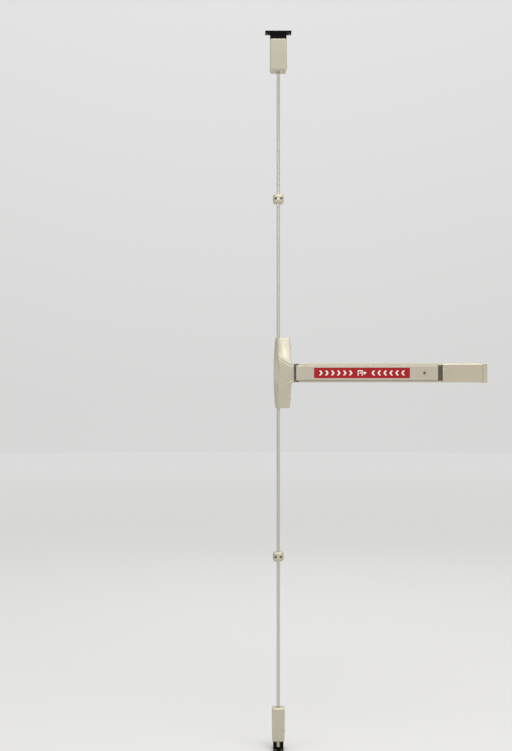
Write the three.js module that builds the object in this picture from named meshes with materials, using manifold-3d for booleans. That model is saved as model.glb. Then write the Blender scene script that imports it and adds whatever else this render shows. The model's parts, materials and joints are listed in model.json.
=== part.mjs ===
// Panic exit bar for the push side of a door, with surface vertical rods.
// Millimetres. X runs along the bar away from the centre case, Z is up, and the
// door face is the plane Y = 0 with the device on its -Y side. The origin is on
// the back of the centre case, where the rod axis crosses the bar's centre line.
import * as THREE from 'three';
import { mergeVertices } from 'three/addons/utils/BufferGeometryUtils.js';
import Module from 'manifold-3d';

const wasm = await Module();
wasm.setup();

// ---------------------------------------------------------------- dimensions
const GAP = 0.3; // running and assembly clearance

// rail
const RAIL_HALF = 28.7; // half height of the rail
const RAIL_START = 48.3;
const RAIL_END = 619.7;
const RAIL_BACK = 2; // thickness of the back web
const RAIL_LIP_DEPTH = 43; // distance of the lips from the door
const LIP_START = 61.5; // the lips are notched back next to the centre case
const COVER_START = 498; // filler cover
const COVER_FACE = 46;
const CAP_START = 620; // end cap
const CAP_END = 633.4;
const CAP_HALF = 29.75;
const CAP_FACE = 47.5;

// push pad
const PAD_START = 53.4;
const PAD_END = 483;
const PAD_HALF = 22.7;
const PAD_FACE = 60;
const PAD_BACK = 30; // free edge of the pad's skirts
const PAD_WALL = 1.8;
const PAD_TRAVEL = 14;
const LABEL_START = 107.3;
const LABEL_END = 396.7;
const LABEL_HALF = 15.75;
const LABEL_THICK = 0.6;

// bell cranks under the pad
const CRANK_X = [115, 385];
const CRANK_DEPTH = 31; // pivot's distance from the door
const CRANK_PAD_ARM = 25.5; // pivot to pad pin, along the bar
const CRANK_DRAW_ARM = 18;
const CRANK_TILT = Math.atan(PAD_TRAVEL / 2 / CRANK_PAD_ARM); // either side of mid travel
const DRAW_TRAVEL = 2 * CRANK_DRAW_ARM * Math.sin(CRANK_TILT);

// draw bar
const DRAW_NEAR = 11.75; // strip's near and far faces, from the door
const DRAW_FAR = 14.25;
const DRAW_HALF = 10;

// dogging
const DOG_X = 441;

// centre case
const CASE_HALF = 107; // half height
const CASE_LEFT_END = -9; // left edge at the top and bottom ends
const CASE_LEFT_MID = -13.8; // left edge in the middle
const CASE_RIGHT_END = 35;
const CASE_RIGHT_MID = 39;
const CASE_COLLAR = 47.9; // end of the collar that meets the rail
const CASE_FACE = 48;
const BEVEL_X = 0.7; // inner edge of the long bevel on the left
const WALL = 2;

// levers in the centre case
const ROD_R = 5;
const ROD_DEPTH = 18; // rod axis to door face
const LEVER_X = 20;
const LEVER_Z = 45;
const ROD_ARM = 20;
const LEVER_DRAW_ARM = 16;
const LEVER_TILT = Math.asin(DRAW_TRAVEL / 2 / LEVER_DRAW_ARM);
const ROD_TRAVEL = 2 * ROD_ARM * Math.sin(LEVER_TILT);
const HEAD_Z = LEVER_Z + ROD_ARM * Math.sin(LEVER_TILT); // rod head at rest

// rod guides
const GUIDE_UP = 532;
const GUIDE_DOWN = -561;
const GUIDE_HALF_W = 16.75;
const GUIDE_HALF_H = 15.75;
const GUIDE_FACE = 27;

// top latch and strike
const TL_HALF = 25.75;
const TL_BOTTOM = 918;
const TL_TOP = 1015.5;
const TL_FACE = 42;
const TOP_BOLT_TIP = 1027.5;
const TS_BOTTOM = 1018;
const TS_TOP = 1041;

// bottom latch and strike
const BL_TOP = -1019;
const BL_BOTTOM = -1122;
const BL_HALF_TOP = 19.75;
const BL_HALF_BOTTOM = 18.75;
const BL_FACE = 35;
const BOTTOM_BOLT_TIP = -1143;
const BOTTOM_BOLT_R = 6.8;
const FLOOR = -1148;

// ---------------------------------------------------------------- solids
const toSolid = (geometry) => {
  const g = geometry.index ? geometry.clone() : geometry;
  g.deleteAttribute('normal');
  g.deleteAttribute('uv');
  const m = mergeVertices(g, 1e-4);
  return new wasm.Manifold(
    new wasm.Mesh({
      numProp: 3,
      vertProperties: new Float32Array(m.attributes.position.array),
      triVerts: new Uint32Array(m.index.array),
    }),
  );
};

const toGeometry = (solid) => {
  const mesh = solid.getMesh();
  const g = new THREE.BufferGeometry();
  g.setAttribute('position', new THREE.BufferAttribute(new Float32Array(mesh.vertProperties), 3));
  g.setIndex(new THREE.BufferAttribute(new Uint32Array(mesh.triVerts), 1));
  g.computeVertexNormals();
  return g;
};

const add = (...solids) => solids.reduce((a, b) => a.add(b));
const cut = (a, ...tools) => tools.reduce((s, t) => s.subtract(t), a);

// an outline of [u, v] points, extruded by length
const extrude = (points, length, holes = []) => {
  const shape = new THREE.Shape(points.map(([u, v]) => new THREE.Vector2(u, v)));
  for (const hole of holes) shape.holes.push(new THREE.Path(hole.map(([u, v]) => new THREE.Vector2(u, v))));
  return new THREE.ExtrudeGeometry(shape, { depth: length, bevelEnabled: false, steps: 1 });
};
// outline in X, depth; extruded from z0 to z1
const prismZ = (points, z0, z1) => {
  const g = extrude(points.map(([x, d]) => [x, -d]), z1 - z0);
  g.translate(0, 0, z0);
  return toSolid(g);
};
// outline in X, Z; extruded from depth d0 to d1
const prismY = (points, d0, d1) => {
  const g = extrude(points, d1 - d0);
  g.rotateX(Math.PI / 2);
  g.translate(0, -d0, 0);
  return toSolid(g);
};
// outline in depth, Z; extruded from x0 to x1
const prismX = (points, x0, x1) => {
  const g = extrude(points.map(([d, z]) => [-d, z]), x1 - x0);
  g.applyMatrix4(
    new THREE.Matrix4().makeBasis(new THREE.Vector3(0, 1, 0), new THREE.Vector3(0, 0, 1), new THREE.Vector3(1, 0, 0)),
  );
  g.translate(x0, 0, 0);
  return toSolid(g);
};
// block by X, depth and Z ranges
const block = (x0, x1, d0, d1, z0, z1) => {
  const g = new THREE.BoxGeometry(x1 - x0, d1 - d0, z1 - z0);
  g.translate((x0 + x1) / 2, -(d0 + d1) / 2, (z0 + z1) / 2);
  return toSolid(g);
};
const circle = (cu, cv, r, n = 20, from = 0, to = Math.PI * 2) => {
  const whole = Math.abs(to - from - Math.PI * 2) < 1e-6;
  const steps = whole ? n : n + 1;
  return Array.from({ length: steps }, (_, i) => {
    const a = from + ((to - from) * i) / n;
    return [cu + r * Math.cos(a), cv + r * Math.sin(a)];
  });
};
const rodZ = (x, d, r, z0, z1, n = 20) => prismZ(circle(x, d, r, n, Math.PI / n, Math.PI * 2 + Math.PI / n), z0, z1);
const rodY = (x, z, r, d0, d1, n = 20) => prismY(circle(x, z, r, n, Math.PI / n, Math.PI * 2 + Math.PI / n), d0, d1);
const rodX = (d, z, r, x0, x1, n = 20) => prismX(circle(d, z, r, n, Math.PI / n, Math.PI * 2 + Math.PI / n), x0, x1);
const roundedRect = (u0, u1, v0, v1, r, n = 4) => [
  ...circle(u1 - r, v1 - r, r, n, 0, Math.PI / 2),
  ...circle(u0 + r, v1 - r, r, n, Math.PI / 2, Math.PI),
  ...circle(u0 + r, v0 + r, r, n, Math.PI, Math.PI * 1.5),
  ...circle(u1 - r, v0 + r, r, n, Math.PI * 1.5, Math.PI * 2),
];

// closed loft through rings of equal point count; each ring is convex and planar
const loft = (rings) => {
  const n = rings[0].length;
  const position = rings.flat(2);
  const index = [];
  for (let i = 0; i < rings.length - 1; i++)
    for (let j = 0; j < n; j++) {
      const k = (j + 1) % n;
      const a = i * n + j;
      const b = i * n + k;
      const c = (i + 1) * n + k;
      const d = (i + 1) * n + j;
      index.push(a, b, c, a, c, d);
    }
  const last = (rings.length - 1) * n;
  for (let j = 1; j < n - 1; j++) {
    index.push(0, j + 1, j);
    index.push(last, last + j, last + j + 1);
  }
  let volume = 0;
  const p = (i) => new THREE.Vector3(...position.slice(i * 3, i * 3 + 3));
  for (let t = 0; t < index.length; t += 3)
    volume += p(index[t]).dot(p(index[t + 1]).cross(p(index[t + 2]))) / 6;
  if (volume < 0) for (let t = 0; t < index.length; t += 3) [index[t + 1], index[t + 2]] = [index[t + 2], index[t + 1]];
  const g = new THREE.BufferGeometry();
  g.setAttribute('position', new THREE.BufferAttribute(new Float32Array(position), 3));
  g.setIndex(index);
  return toSolid(g);
};

// ---------------------------------------------------------------- finishes
const finish = (color, roughness, metalness) => () => new THREE.MeshStandardMaterial({ color, roughness, metalness });
const satinCast = finish(0xbdb5a0, 0.45, 0.7); // satin painted castings
const satinExtrusion = finish(0xb8b0a0, 0.38, 0.85); // brushed rail and pad
const rodSteel = finish(0xc6c0b6, 0.3, 0.9);
const zinc = finish(0x9a9a94, 0.45, 0.9); // plated inner steel
const boltSteel = finish(0x8e8a7c, 0.35, 0.9);
const screwSteel = finish(0x6f6c64, 0.4, 0.9);
const springSteel = finish(0x585858, 0.35, 0.95);
const black = finish(0x16130f, 0.6, 0.1);
const darkPlastic = finish(0x3a3730, 0.7, 0.0);
const labelRed = finish(0xb81a22, 0.5, 0.0);

const part = new THREE.Group();
const piece = (name, solid, material, group = part, place = [0, 0, 0], turnY = 0) => {
  const mesh = new THREE.Mesh(toGeometry(solid), material());
  mesh.name = name;
  mesh.position.set(...place);
  mesh.rotation.y = turnY;
  group.add(mesh);
  return mesh;
};

// ---------------------------------------------------------------- rail
const rail = new THREE.Group();
part.add(rail);

const railProfile = [
  [RAIL_LIP_DEPTH, -23.7], [RAIL_LIP_DEPTH, -24.6], [37.5, -RAIL_HALF], [0, -RAIL_HALF],
  [0, RAIL_HALF], [37.5, RAIL_HALF], [RAIL_LIP_DEPTH, 24.6], [RAIL_LIP_DEPTH, 23.7],
  [40.8, 23.7], [36.6, 26.4], [RAIL_BACK, 26.4], [RAIL_BACK, -26.4], [36.6, -26.4], [40.8, -23.7],
];
piece(
  'rail_housing',
  cut(
    prismX(railProfile, RAIL_START, RAIL_END),
    block(RAIL_START - 1, LIP_START, 30, 50, -40, 40),
    ...[-8, 8].map((z) => rodY(66, z, 2.2, -1, 3, 10)), // fixing holes, over the chassis tongue's
    ...[-10, 10].map((z) => rodY(600, z, 2.6, -1, 3, 10)), // and over the end bracket's
  ),
  satinExtrusion, rail,
);

// flat cover clipped over the lips beyond the pad
piece(
  'rail_cover',
  prismX(
    [[COVER_FACE, -RAIL_HALF], [COVER_FACE, RAIL_HALF], [38, RAIL_HALF], [43.3, 24.75], [43.3, -24.75], [38, -RAIL_HALF]],
    COVER_START, CAP_START - 0.3,
  ),
  satinExtrusion, rail,
);

// cap over the rail's free end, open towards the rail
const capOuter = prismX(
  [[0, -CAP_HALF], [0, CAP_HALF], [CAP_FACE - 2, CAP_HALF], [CAP_FACE, CAP_HALF - 2], [CAP_FACE, -CAP_HALF + 2], [CAP_FACE - 2, -CAP_HALF]],
  CAP_START, CAP_END,
);
const capScrewZ = 14;
piece(
  'end_cap',
  cut(
    capOuter,
    block(CAP_START - 1, CAP_END - 3, -1, CAP_FACE - 2.5, -CAP_HALF + 2.5, CAP_HALF - 2.5),
    rodX(20, capScrewZ, 2.4, CAP_END - 5, CAP_END + 1, 10),
    rodX(20, -capScrewZ, 2.4, CAP_END - 5, CAP_END + 1, 10),
    rodX(20, capScrewZ, 4.3, CAP_END - 1.6, CAP_END + 1, 12),
    rodX(20, -capScrewZ, 4.3, CAP_END - 1.6, CAP_END + 1, 12),
  ),
  satinCast, rail,
);
// bracket in the end of the rail: a foot on the rail's back and an upright that takes the cap's screws
piece(
  'end_bracket',
  cut(
    add(block(588, 629.6, RAIL_BACK + GAP, 4.8, -20, 20), block(626.6, 629.6, 4, 32, -20, 20)),
    rodX(20, capScrewZ, 2.4, 620, 632, 10),
    rodX(20, -capScrewZ, 2.4, 620, 632, 10),
    rodY(600, 10, 2.6, 0, 8, 10),
    rodY(600, -10, 2.6, 0, 8, 10),
  ),
  zinc, rail,
);
for (const [name, z] of [['end_cap_screw_upper', capScrewZ], ['end_cap_screw_lower', -capScrewZ]])
  piece(
    name,
    cut(add(rodX(20, z, 2, 624.5, CAP_END - 1, 10), rodX(20, z, 3.9, CAP_END - 1.3, CAP_END - 0.1, 12)),
      rodX(20, z, 1.5, CAP_END - 0.9, CAP_END + 1, 6)),
    screwSteel, rail,
  );

// plastic guide that closes the gap between the pad and the filler cover
piece(
  'slide_guide',
  cut(
    prismX(roundedRect(RAIL_BACK + GAP, 42.5, -23.3, 23.3, 1.5, 2), 484.2, COVER_START - 0.3),
    block(486.4, 495.5, -1, 40, -20.5, 20.5),
  ),
  darkPlastic, rail,
);

// ---------------------------------------------------------------- push pad
const pad = new THREE.Group();
part.add(pad);

const padOutline = (half, face, back, chamfer) => [
  [back, -half], [face - chamfer, -half], [face, -half + chamfer], [face, half - chamfer], [face - chamfer, half], [back, half],
];
const padBody = cut(
  prismX(padOutline(PAD_HALF, PAD_FACE, PAD_BACK, 1.6), PAD_START + 1.6, PAD_END - 1.6),
  prismX(padOutline(PAD_HALF - PAD_WALL, PAD_FACE - PAD_WALL, PAD_BACK - 5, 1), PAD_START, PAD_END),
  rodY(DOG_X, 0, 3.9, 50, 70, 16),
);
piece('push_pad', padBody, satinExtrusion, pad);

piece(
  'pad_end_left',
  add(
    prismX(padOutline(PAD_HALF, PAD_FACE, PAD_BACK, 1.6), PAD_START, PAD_START + 1.5),
    cut(
      prismX(padOutline(PAD_HALF - PAD_WALL - GAP, PAD_FACE - PAD_WALL - GAP, PAD_BACK, 1), PAD_START + 1, PAD_START + 7),
      block(PAD_START + 1.5, PAD_START + 8, 20, 55.5, -18, 18),
    ),
  ),
  satinExtrusion, pad,
);
piece(
  'pad_end_right',
  add(
    prismX(padOutline(PAD_HALF, PAD_FACE, PAD_BACK, 1.6), PAD_END - 1.5, PAD_END),
    cut(
      prismX(padOutline(PAD_HALF - PAD_WALL - GAP, PAD_FACE - PAD_WALL - GAP, PAD_BACK, 1), PAD_END - 7, PAD_END - 1),
      block(PAD_END - 8, PAD_END - 1.5, 20, 55.5, -18, 18),
    ),
  ),
  darkPlastic, pad,
);
piece(
  'pad_label',
  prismY(roundedRect(LABEL_START, LABEL_END, -LABEL_HALF, LABEL_HALF, 1.5, 2), PAD_FACE + 0.02, PAD_FACE + LABEL_THICK),
  labelRed, pad,
);

// ---------------------------------------------------------------- bell cranks
// Each stand is a U on the rail's back; the crank turns on a pin across it. One
// arm carries the pad's pin in a slot, and the other reaches into a window of the draw bar.
const stand = () =>
  cut(
    add(
      block(-14, 14, -CRANK_DEPTH + RAIL_BACK + GAP, -CRANK_DEPTH + 4.3, -16.5, 16.5),
      ...[-1, 1].map((s) =>
        prismZ(
          [[-11, -CRANK_DEPTH + 3], [11, -CRANK_DEPTH + 3], [7, 2], [3.5, 5.8], [-3.5, 5.8], [-7, 2]],
          s > 0 ? 14.5 : -16.5, s > 0 ? 16.5 : -14.5,
        ),
      ),
    ),
    rodZ(0, 0, 2.6, -20, 20, 12),
  );
const stadium = (x0, z0, x1, z1, r, n = 5) => {
  const a = Math.atan2(z1 - z0, x1 - x0);
  return [...circle(x1, z1, r, n, a - Math.PI / 2, a + Math.PI / 2), ...circle(x0, z0, r, n, a + Math.PI / 2, a + Math.PI * 1.5)];
};
const crank = () =>
  cut(
    add(
      rodZ(0, 0, 5, -13.8, 13.8, 12),
      prismZ(stadium(0, 0, -26.1, 0, 4.2, 5), -6.5, 6.5),
      prismZ(stadium(0, 0, 0, -(CRANK_DRAW_ARM - 2), 2.4, 4), -4, 4),
      prismZ(circle(0, -CRANK_DRAW_ARM, 3, 12), -4, 4),
    ),
    rodZ(0, 0, 2.6, -20, 20, 12),
    prismZ(stadium(-25.3, 0, -26.7, 0, 2.4, 5), -8, 8),
  );
const crankPin = () => add(rodZ(0, 0, 2.3, -17.6, 17.6, 10), rodZ(0, 0, 4, 16.9, 18.2, 10));
const hanger = () =>
  cut(
    add(
      block(-8, 8, 17.8, 20, -9.6, 9.6),
      ...[-1, 1].map((s) =>
        prismZ([[-5, -3.2], [5, -3.2], [7, 18.5], [-7, 18.5]], s > 0 ? 7.6 : -9.6, s > 0 ? 9.6 : -7.6),
      ),
    ),
    rodZ(0, 0, 2.3, -12, 12, 10),
  );
const padPin = () => rodZ(0, 0, 2, -10.4, 10.4, 10);

CRANK_X.forEach((x, i) => {
  const side = ['left', 'right'][i];
  piece(`crank_stand_${side}`, stand(), zinc, rail, [x, -CRANK_DEPTH, 0]);
  piece(`crank_pin_${side}`, crankPin(), screwSteel, rail, [x, -CRANK_DEPTH, 0]);
  // the crank's arms are square to each other, and at rest the pad arm is tipped towards the pad
  const mesh = piece(`bell_crank_${side}`, crank(), zinc, part, [x, -CRANK_DEPTH, 0]);
  mesh.rotation.z = CRANK_TILT;
  const pinDepth = CRANK_DEPTH + PAD_TRAVEL / 2;
  piece(`pad_hanger_${side}`, hanger(), zinc, pad, [x - CRANK_PAD_ARM, -pinDepth, 0]);
  piece(`pad_pin_${side}`, padPin(), screwSteel, pad, [x - CRANK_PAD_ARM, -pinDepth, 0]);
});

// ---------------------------------------------------------------- draw bar
const draw = new THREE.Group();
draw.position.x = -DRAW_TRAVEL / 2; // drawn from mid travel back to rest
part.add(draw);

const SPRING_TAB = 240;
const SPRING_STOP = 300;
const DOG_TAB = DOG_X - 17.7 + DRAW_TRAVEL / 2; // catch on the bar, at mid travel
piece(
  'draw_bar',
  cut(
    add(
      block(10, 430, DRAW_NEAR, DRAW_FAR, -DRAW_HALF, DRAW_HALF),
      block(SPRING_TAB, SPRING_TAB + 2, DRAW_FAR - 1, 31, -8, 8),
      block(DOG_TAB - 1.5, DOG_TAB + 1.5, DRAW_FAR - 1, 20.5, -2, 2),
    ),
    ...CRANK_X.map((x) => block(x - 3.5, x + 3.5, 5, 20, -4.6, 4.6)),
  ),
  zinc, draw,
);
// crosshead on the bar's end, with a notch for each lever
const notch = (s) =>
  prismY(
    [
      ...circle(LEVER_X, s * (LEVER_Z - LEVER_DRAW_ARM - 0.1), 4.1, 8, s > 0 ? Math.PI : 0, s > 0 ? Math.PI * 2 : Math.PI),
      ...(s > 0
        ? [[LEVER_X + 4.1, 40], [LEVER_X - 4.1, 40]]
        : [[LEVER_X - 4.1, -40], [LEVER_X + 4.1, -40]]),
    ],
    14, 22,
  );
piece(
  'crosshead',
  cut(
    add(
      block(LEVER_X - 7, LEVER_X + 7, 16.5, 19.5, -33.5, 33.5),
      block(LEVER_X - 7, LEVER_X + 7, DRAW_FAR + 0.1, 17, -9, 9),
    ),
    notch(1), notch(-1),
  ),
  zinc, draw,
);

// compression spring from the bar's tab to a stop on the rail
const helix = (turns, radius, wire, length, sides, stepsPerTurn, flat = 0.75) => {
  const points = [];
  const total = turns * stepsPerTurn;
  const dead = stepsPerTurn * flat; // closed end coils
  for (let i = 0; i <= total; i++) {
    const a = (i / stepsPerTurn) * Math.PI * 2;
    const t = Math.min(1, Math.max(0, (i - dead) / (total - 2 * dead)));
    const lead = (wire * 1.15) * Math.min(1, i / dead) * 1 + (wire * 1.15) * Math.min(1, Math.max(0, i - (total - dead)) / dead);
    const w = lead + t * (length - wire - wire * 2.3);
    points.push(new THREE.Vector3(radius * Math.cos(a), radius * Math.sin(a), w + wire / 2));
  }
  // a swept ring of the wire's section
  const rings = points.map((p, i) => {
    const q = points[Math.min(points.length - 1, i + 1)].clone().sub(points[Math.max(0, i - 1)]).normalize();
    const out = new THREE.Vector3(p.x, p.y, 0).normalize();
    const up = new THREE.Vector3().crossVectors(q, out).normalize();
    return Array.from({ length: sides }, (_, j) => {
      const b = (j / sides) * Math.PI * 2;
      const v = p.clone().addScaledVector(out, (Math.cos(b) * wire) / 2).addScaledVector(up, (Math.sin(b) * wire) / 2);
      return [v.x, v.y, v.z];
    });
  });
  return loft(rings);
};
const springLength = SPRING_STOP - GAP - (SPRING_TAB + 2 + GAP - DRAW_TRAVEL / 2);
const returnSpring = helix(7.5, 5.6, 1.5, springLength, 5, 8);
const springMesh = piece('return_spring', returnSpring, springSteel, rail, [SPRING_TAB + 2 + GAP - DRAW_TRAVEL / 2, -23.5, 0]);
springMesh.rotation.set(0, Math.PI / 2, 0);
piece(
  'spring_stop',
  add(
    block(SPRING_STOP, SPRING_STOP + 2, RAIL_BACK + 2, 31, 12, 14.5),
    block(SPRING_STOP, SPRING_STOP + 2, RAIL_BACK + 2, 31, -14.5, -12),
    block(SPRING_STOP, SPRING_STOP + 2, 16, 31, -13, 13),
    block(SPRING_STOP, SPRING_STOP + 16, RAIL_BACK + GAP, 4.3, -14.5, 14.5),
  ),
  zinc, rail,
);

// ---------------------------------------------------------------- dogging
piece(
  'dog_bracket',
  cut(
    add(
      block(DOG_X - 8, DOG_X + 8, RAIL_BACK + GAP, 4.3, -19, 19),
      block(DOG_X - 8, DOG_X + 8, 4, 26, 17, 19),
      block(DOG_X - 8, DOG_X + 8, 4, 26, -19, -17),
      block(DOG_X - 8, DOG_X + 8, 24, 26, -19, 19),
    ),
    rodY(DOG_X, 0, 4.3, 20, 30, 14),
  ),
  zinc, rail,
);
// shaft with a hex socket and a hook; the hook is drawn at a quarter turn, where it holds the
// bar's catch, and the shaft is set back to rest
const hook = prismY(
  [[-15.4, -3.5], [-10, -3.5], [-10, 2.6], [-4, 2.6], [0, 0], [3, 4], [-3, 8], [-12, 8], [-15.4, 3.4]],
  17, 20.2,
);
const dogShaft = cut(
  add(rodY(0, 0, 4, 15.5, 43, 14), rodY(0, 0, 5, 16.5, 21, 14), rodY(0, 0, 5.5, 27, 28.5, 14), hook),
  rodY(0, 0, 2.9, 37, 44, 6),
);
piece('dog_shaft', dogShaft, boltSteel, part, [DOG_X, 0, 0], Math.PI / 2);

// ---------------------------------------------------------------- centre case
const centre = new THREE.Group();
part.add(centre);

const caseLeft = (z) => {
  const a = Math.abs(z);
  return a <= 42 ? CASE_LEFT_MID : CASE_LEFT_MID + ((CASE_LEFT_END - CASE_LEFT_MID) * (a - 42)) / (CASE_HALF - 42);
};
const caseRight = (z) => {
  const a = Math.abs(z);
  if (a <= RAIL_HALF) return CASE_COLLAR;
  if (a <= 45) {
    // concave fillet between the wing and the collar
    const t = (a - RAIL_HALF) / (45 - RAIL_HALF);
    return CASE_RIGHT_MID + (CASE_COLLAR - CASE_RIGHT_MID) * (1 - t) ** 3.2;
  }
  return CASE_RIGHT_MID + ((CASE_RIGHT_END - CASE_RIGHT_MID) * (a - 45)) / (CASE_HALF - 45);
};
const caseDepth = (z) => {
  const a = Math.abs(z);
  if (a <= 34) return CASE_FACE;
  const t = (a - 34) / (CASE_HALF - 34);
  return CASE_FACE - 11 * t ** 1.7 - 4 * Math.max(0, (a - 99) / (CASE_HALF - 99)) ** 2;
};
const caseRing = (z, inset) => {
  const l = caseLeft(z) + inset;
  const r = caseRight(z) - inset;
  const d = caseDepth(z) - inset;
  const round = 3;
  return [
    [l, inset ? 6 : 0, z], [l, -(d - 15), z], [l + 1.6, -(d - 12.2), z], [BEVEL_X - 1.5 + inset * 0.4, -(d - 0.9), z], [BEVEL_X + 1.4 + inset * 0.4, -d, z],
    [r - round, -d, z], [r - round * 0.3, -(d - round * 0.3), z], [r, -(d - round), z], [r, inset ? 6 : 0, z],
  ];
};
const stations = [0, RAIL_HALF, 29.6, 31.5, 35, 39.5, 45, 58, 71, 84, 95, 103, CASE_HALF];
const bothWays = (list) => [...list.slice(1).reverse().map((z) => -z), ...list];
const outerCase = loft(bothWays(stations).map((z) => caseRing(z, 0)));
// the cavity is the same form a wall thickness inside, along the case as well as across it
const innerCase = loft(
  bothWays(stations).map((z) => caseRing(z, WALL).map(([x, y, zz]) => [x, y, zz - Math.sign(zz) * WALL])),
);
const coverScrewZ = 80;
const coverScrewDepth = 11;
piece(
  'centre_cover',
  cut(
    outerCase,
    innerCase,
    // way out for the draw bar and the chassis tongue
    block(40, 50, -1, 24, -16.5, 16.5),
    // ways out for the rods
    add(rodZ(0, ROD_DEPTH, 6.2, 100, 110, 14), rodZ(0, ROD_DEPTH, 6.2, -110, -100, 14)),
    add(rodX(coverScrewDepth, coverScrewZ, 1.9, 33, 42, 10), rodX(coverScrewDepth, -coverScrewZ, 1.9, 33, 42, 10)),
  ),
  satinCast, centre,
);

const chassisOutline = [
  [-6.4, -104.4], [-11.3, -42], [-11.3, 42], [-6.4, 104.4], [32.4, 104.4], [36.3, 44], [36.3, 26.4], [45.5, 26.4],
  [45.5, -26.4], [36.3, -26.4], [36.3, -44], [32.4, -104.4],
];
const lug = (z) => cut(prismZ([[-6.6, 1], [9.5, 1], [9.5, 26], [-2.4, 26], [-6.6, 20]], z - 1.25, z + 1.25), rodZ(0, ROD_DEPTH, ROD_R + 0.4, z - 3, z + 3, 16));
piece(
  'chassis',
  cut(
    add(
      prismY(chassisOutline, 0, 2.5),
      // tongue that the rail is screwed to
      block(40, 45.5, 0, 4.6, -15, 15),
      block(44, 78, RAIL_BACK + GAP, 4.6, -15, 15),
      // bosses for the lever pins
      rodY(LEVER_X, LEVER_Z, 6, 2, 16.1, 14),
      rodY(LEVER_X, -LEVER_Z, 6, 2, 16.1, 14),
      // rod guides
      lug(97), lug(-97),
      // tabs for the cover screws
      block(29.4, 31.9, 2, 17, coverScrewZ - 6, coverScrewZ + 6),
      block(29.4, 31.9, 2, 17, -coverScrewZ - 6, -coverScrewZ + 6),
    ),
    rodY(LEVER_X, LEVER_Z, 3.3, 3.7, 20, 12),
    rodY(LEVER_X, -LEVER_Z, 3.3, 3.7, 20, 12),
    rodX(coverScrewDepth, coverScrewZ, 1.9, 27, 34, 10),
    rodX(coverScrewDepth, -coverScrewZ, 1.9, 27, 34, 10),
    // fixing holes
    ...[[12, 66], [12, -66], [20, 14], [20, -14]].map(([x, z]) => rodY(x, z, 2.6, -1, 4, 10)),
    ...[[66, 8], [66, -8]].map(([x, z]) => rodY(x, z, 2.2, 1, 6, 10)),
  ),
  zinc, centre,
);
for (const [name, z] of [['cover_screw_upper', coverScrewZ], ['cover_screw_lower', -coverScrewZ]]) {
  const face = caseRight(coverScrewZ) + 0.3;
  piece(
    name,
    cut(add(rodX(coverScrewDepth, z, 1.55, 28, face + 0.5, 10), rodX(coverScrewDepth, z, 3.2, face, face + 1.7, 10)),
      rodX(coverScrewDepth, z, 1.2, face + 0.8, face + 3, 6)),
    screwSteel, centre,
  );
}

// levers: one arm in the crosshead's notch, one in the rod head's slot
const lever = (s) =>
  cut(
    add(
      rodY(0, 0, 7, 16.5, 19.5, 16),
      prismY(stadium(0, 0, -ROD_ARM + 1, 0, 2.5, 4), 16.5, 19.5),
      prismY(circle(-ROD_ARM, 0, 3.8, 12), 16.5, 19.5),
      prismY(stadium(0, 0, 0, -s * (LEVER_DRAW_ARM - 1), 2.5, 4), 16.5, 19.5),
      prismY(circle(0, -s * LEVER_DRAW_ARM, 3.8, 12), 16.5, 19.5),
      prismY([[-7, 0], [0, -s * 7], [0, 0]].sort(() => 0), 16.5, 19.5),
    ),
    rodY(0, 0, 3.3, 10, 25, 12),
  );
const leverPin = () => add(rodY(0, 0, 3, 4.2, 21, 12), rodY(0, 0, 5.4, 19.9, 21.6, 14));
for (const [side, s] of [['upper', 1], ['lower', -1]]) {
  piece(`lift_lever_${side}`, lever(s), zinc, part, [LEVER_X, 0, s * LEVER_Z], s * LEVER_TILT);
  piece(`lever_pin_${side}`, leverPin(), screwSteel, centre, [LEVER_X, 0, s * LEVER_Z]);
}

// ---------------------------------------------------------------- rods
// head with a slot for the lever and a socket for the rod
const rodHead = (s) =>
  cut(
    block(-7, 6.6, 11, 25, s > 0 ? -8 : -19, s > 0 ? 19 : 8),
    prismY([[-4.5, -4.2], [3, -4.2], [8, -6.8], [8, 6.8], [3, 4.2], [-4.5, 4.2]], 16.1, 19.9),
    rodZ(0, ROD_DEPTH, ROD_R + GAP, s > 0 ? 8 : -30, s > 0 ? 30 : -8, 16),
  );
const TOP_BOLT_FOOT = 962;
const BOTTOM_BOLT_HEAD = -1052;
piece('upper_rod_head', rodHead(1), zinc, part, [0, 0, HEAD_Z]);
piece('lower_rod_head', rodHead(-1), zinc, part, [0, 0, -HEAD_Z]);
piece('upper_rod', rodZ(0, ROD_DEPTH, ROD_R, HEAD_Z + 8.4, TOP_BOLT_FOOT + 13.6, 20), rodSteel);
piece('lower_rod', rodZ(0, ROD_DEPTH, ROD_R, BOTTOM_BOLT_HEAD - 17.6, -HEAD_Z - 8.4, 20), rodSteel);

// ---------------------------------------------------------------- rod guides
const guideScrewX = 8.6;
const guideProfile = [
  [-GUIDE_HALF_W, 0], [-GUIDE_HALF_W, 12], [-15.4, 20], [-11.5, 25], [-6, GUIDE_FACE], [6, GUIDE_FACE], [11.5, 25], [15.4, 20],
  [GUIDE_HALF_W, 12], [GUIDE_HALF_W, 0],
];
const guideSide = [
  [0, -GUIDE_HALF_H], [20, -GUIDE_HALF_H], [24.6, -GUIDE_HALF_H + 2], [27.2, -GUIDE_HALF_H + 5.5], [27.2, GUIDE_HALF_H - 5.5], [24.6, GUIDE_HALF_H - 2], [20, GUIDE_HALF_H], [0, GUIDE_HALF_H],
];
const guide = () =>
  cut(
    prismZ(guideProfile, -GUIDE_HALF_H, GUIDE_HALF_H).intersect(prismX(guideSide, -20, 20)),
    rodZ(0, ROD_DEPTH, ROD_R + 0.4, -20, 20, 16),
    ...[-1, 1].flatMap((s) => [rodY(s * guideScrewX, 0, 2.1, -1, 30, 10), rodY(s * guideScrewX, 0, 3.4, 20.8, 30, 12)]),
  );
const guideScrew = () =>
  cut(add(rodY(0, 0, 1.8, 0.3, 22, 10), rodY(0, 0, 3.1, 21.1, 23.6, 12)), rodY(0, 0, 1.5, 22, 25, 6));
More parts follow.
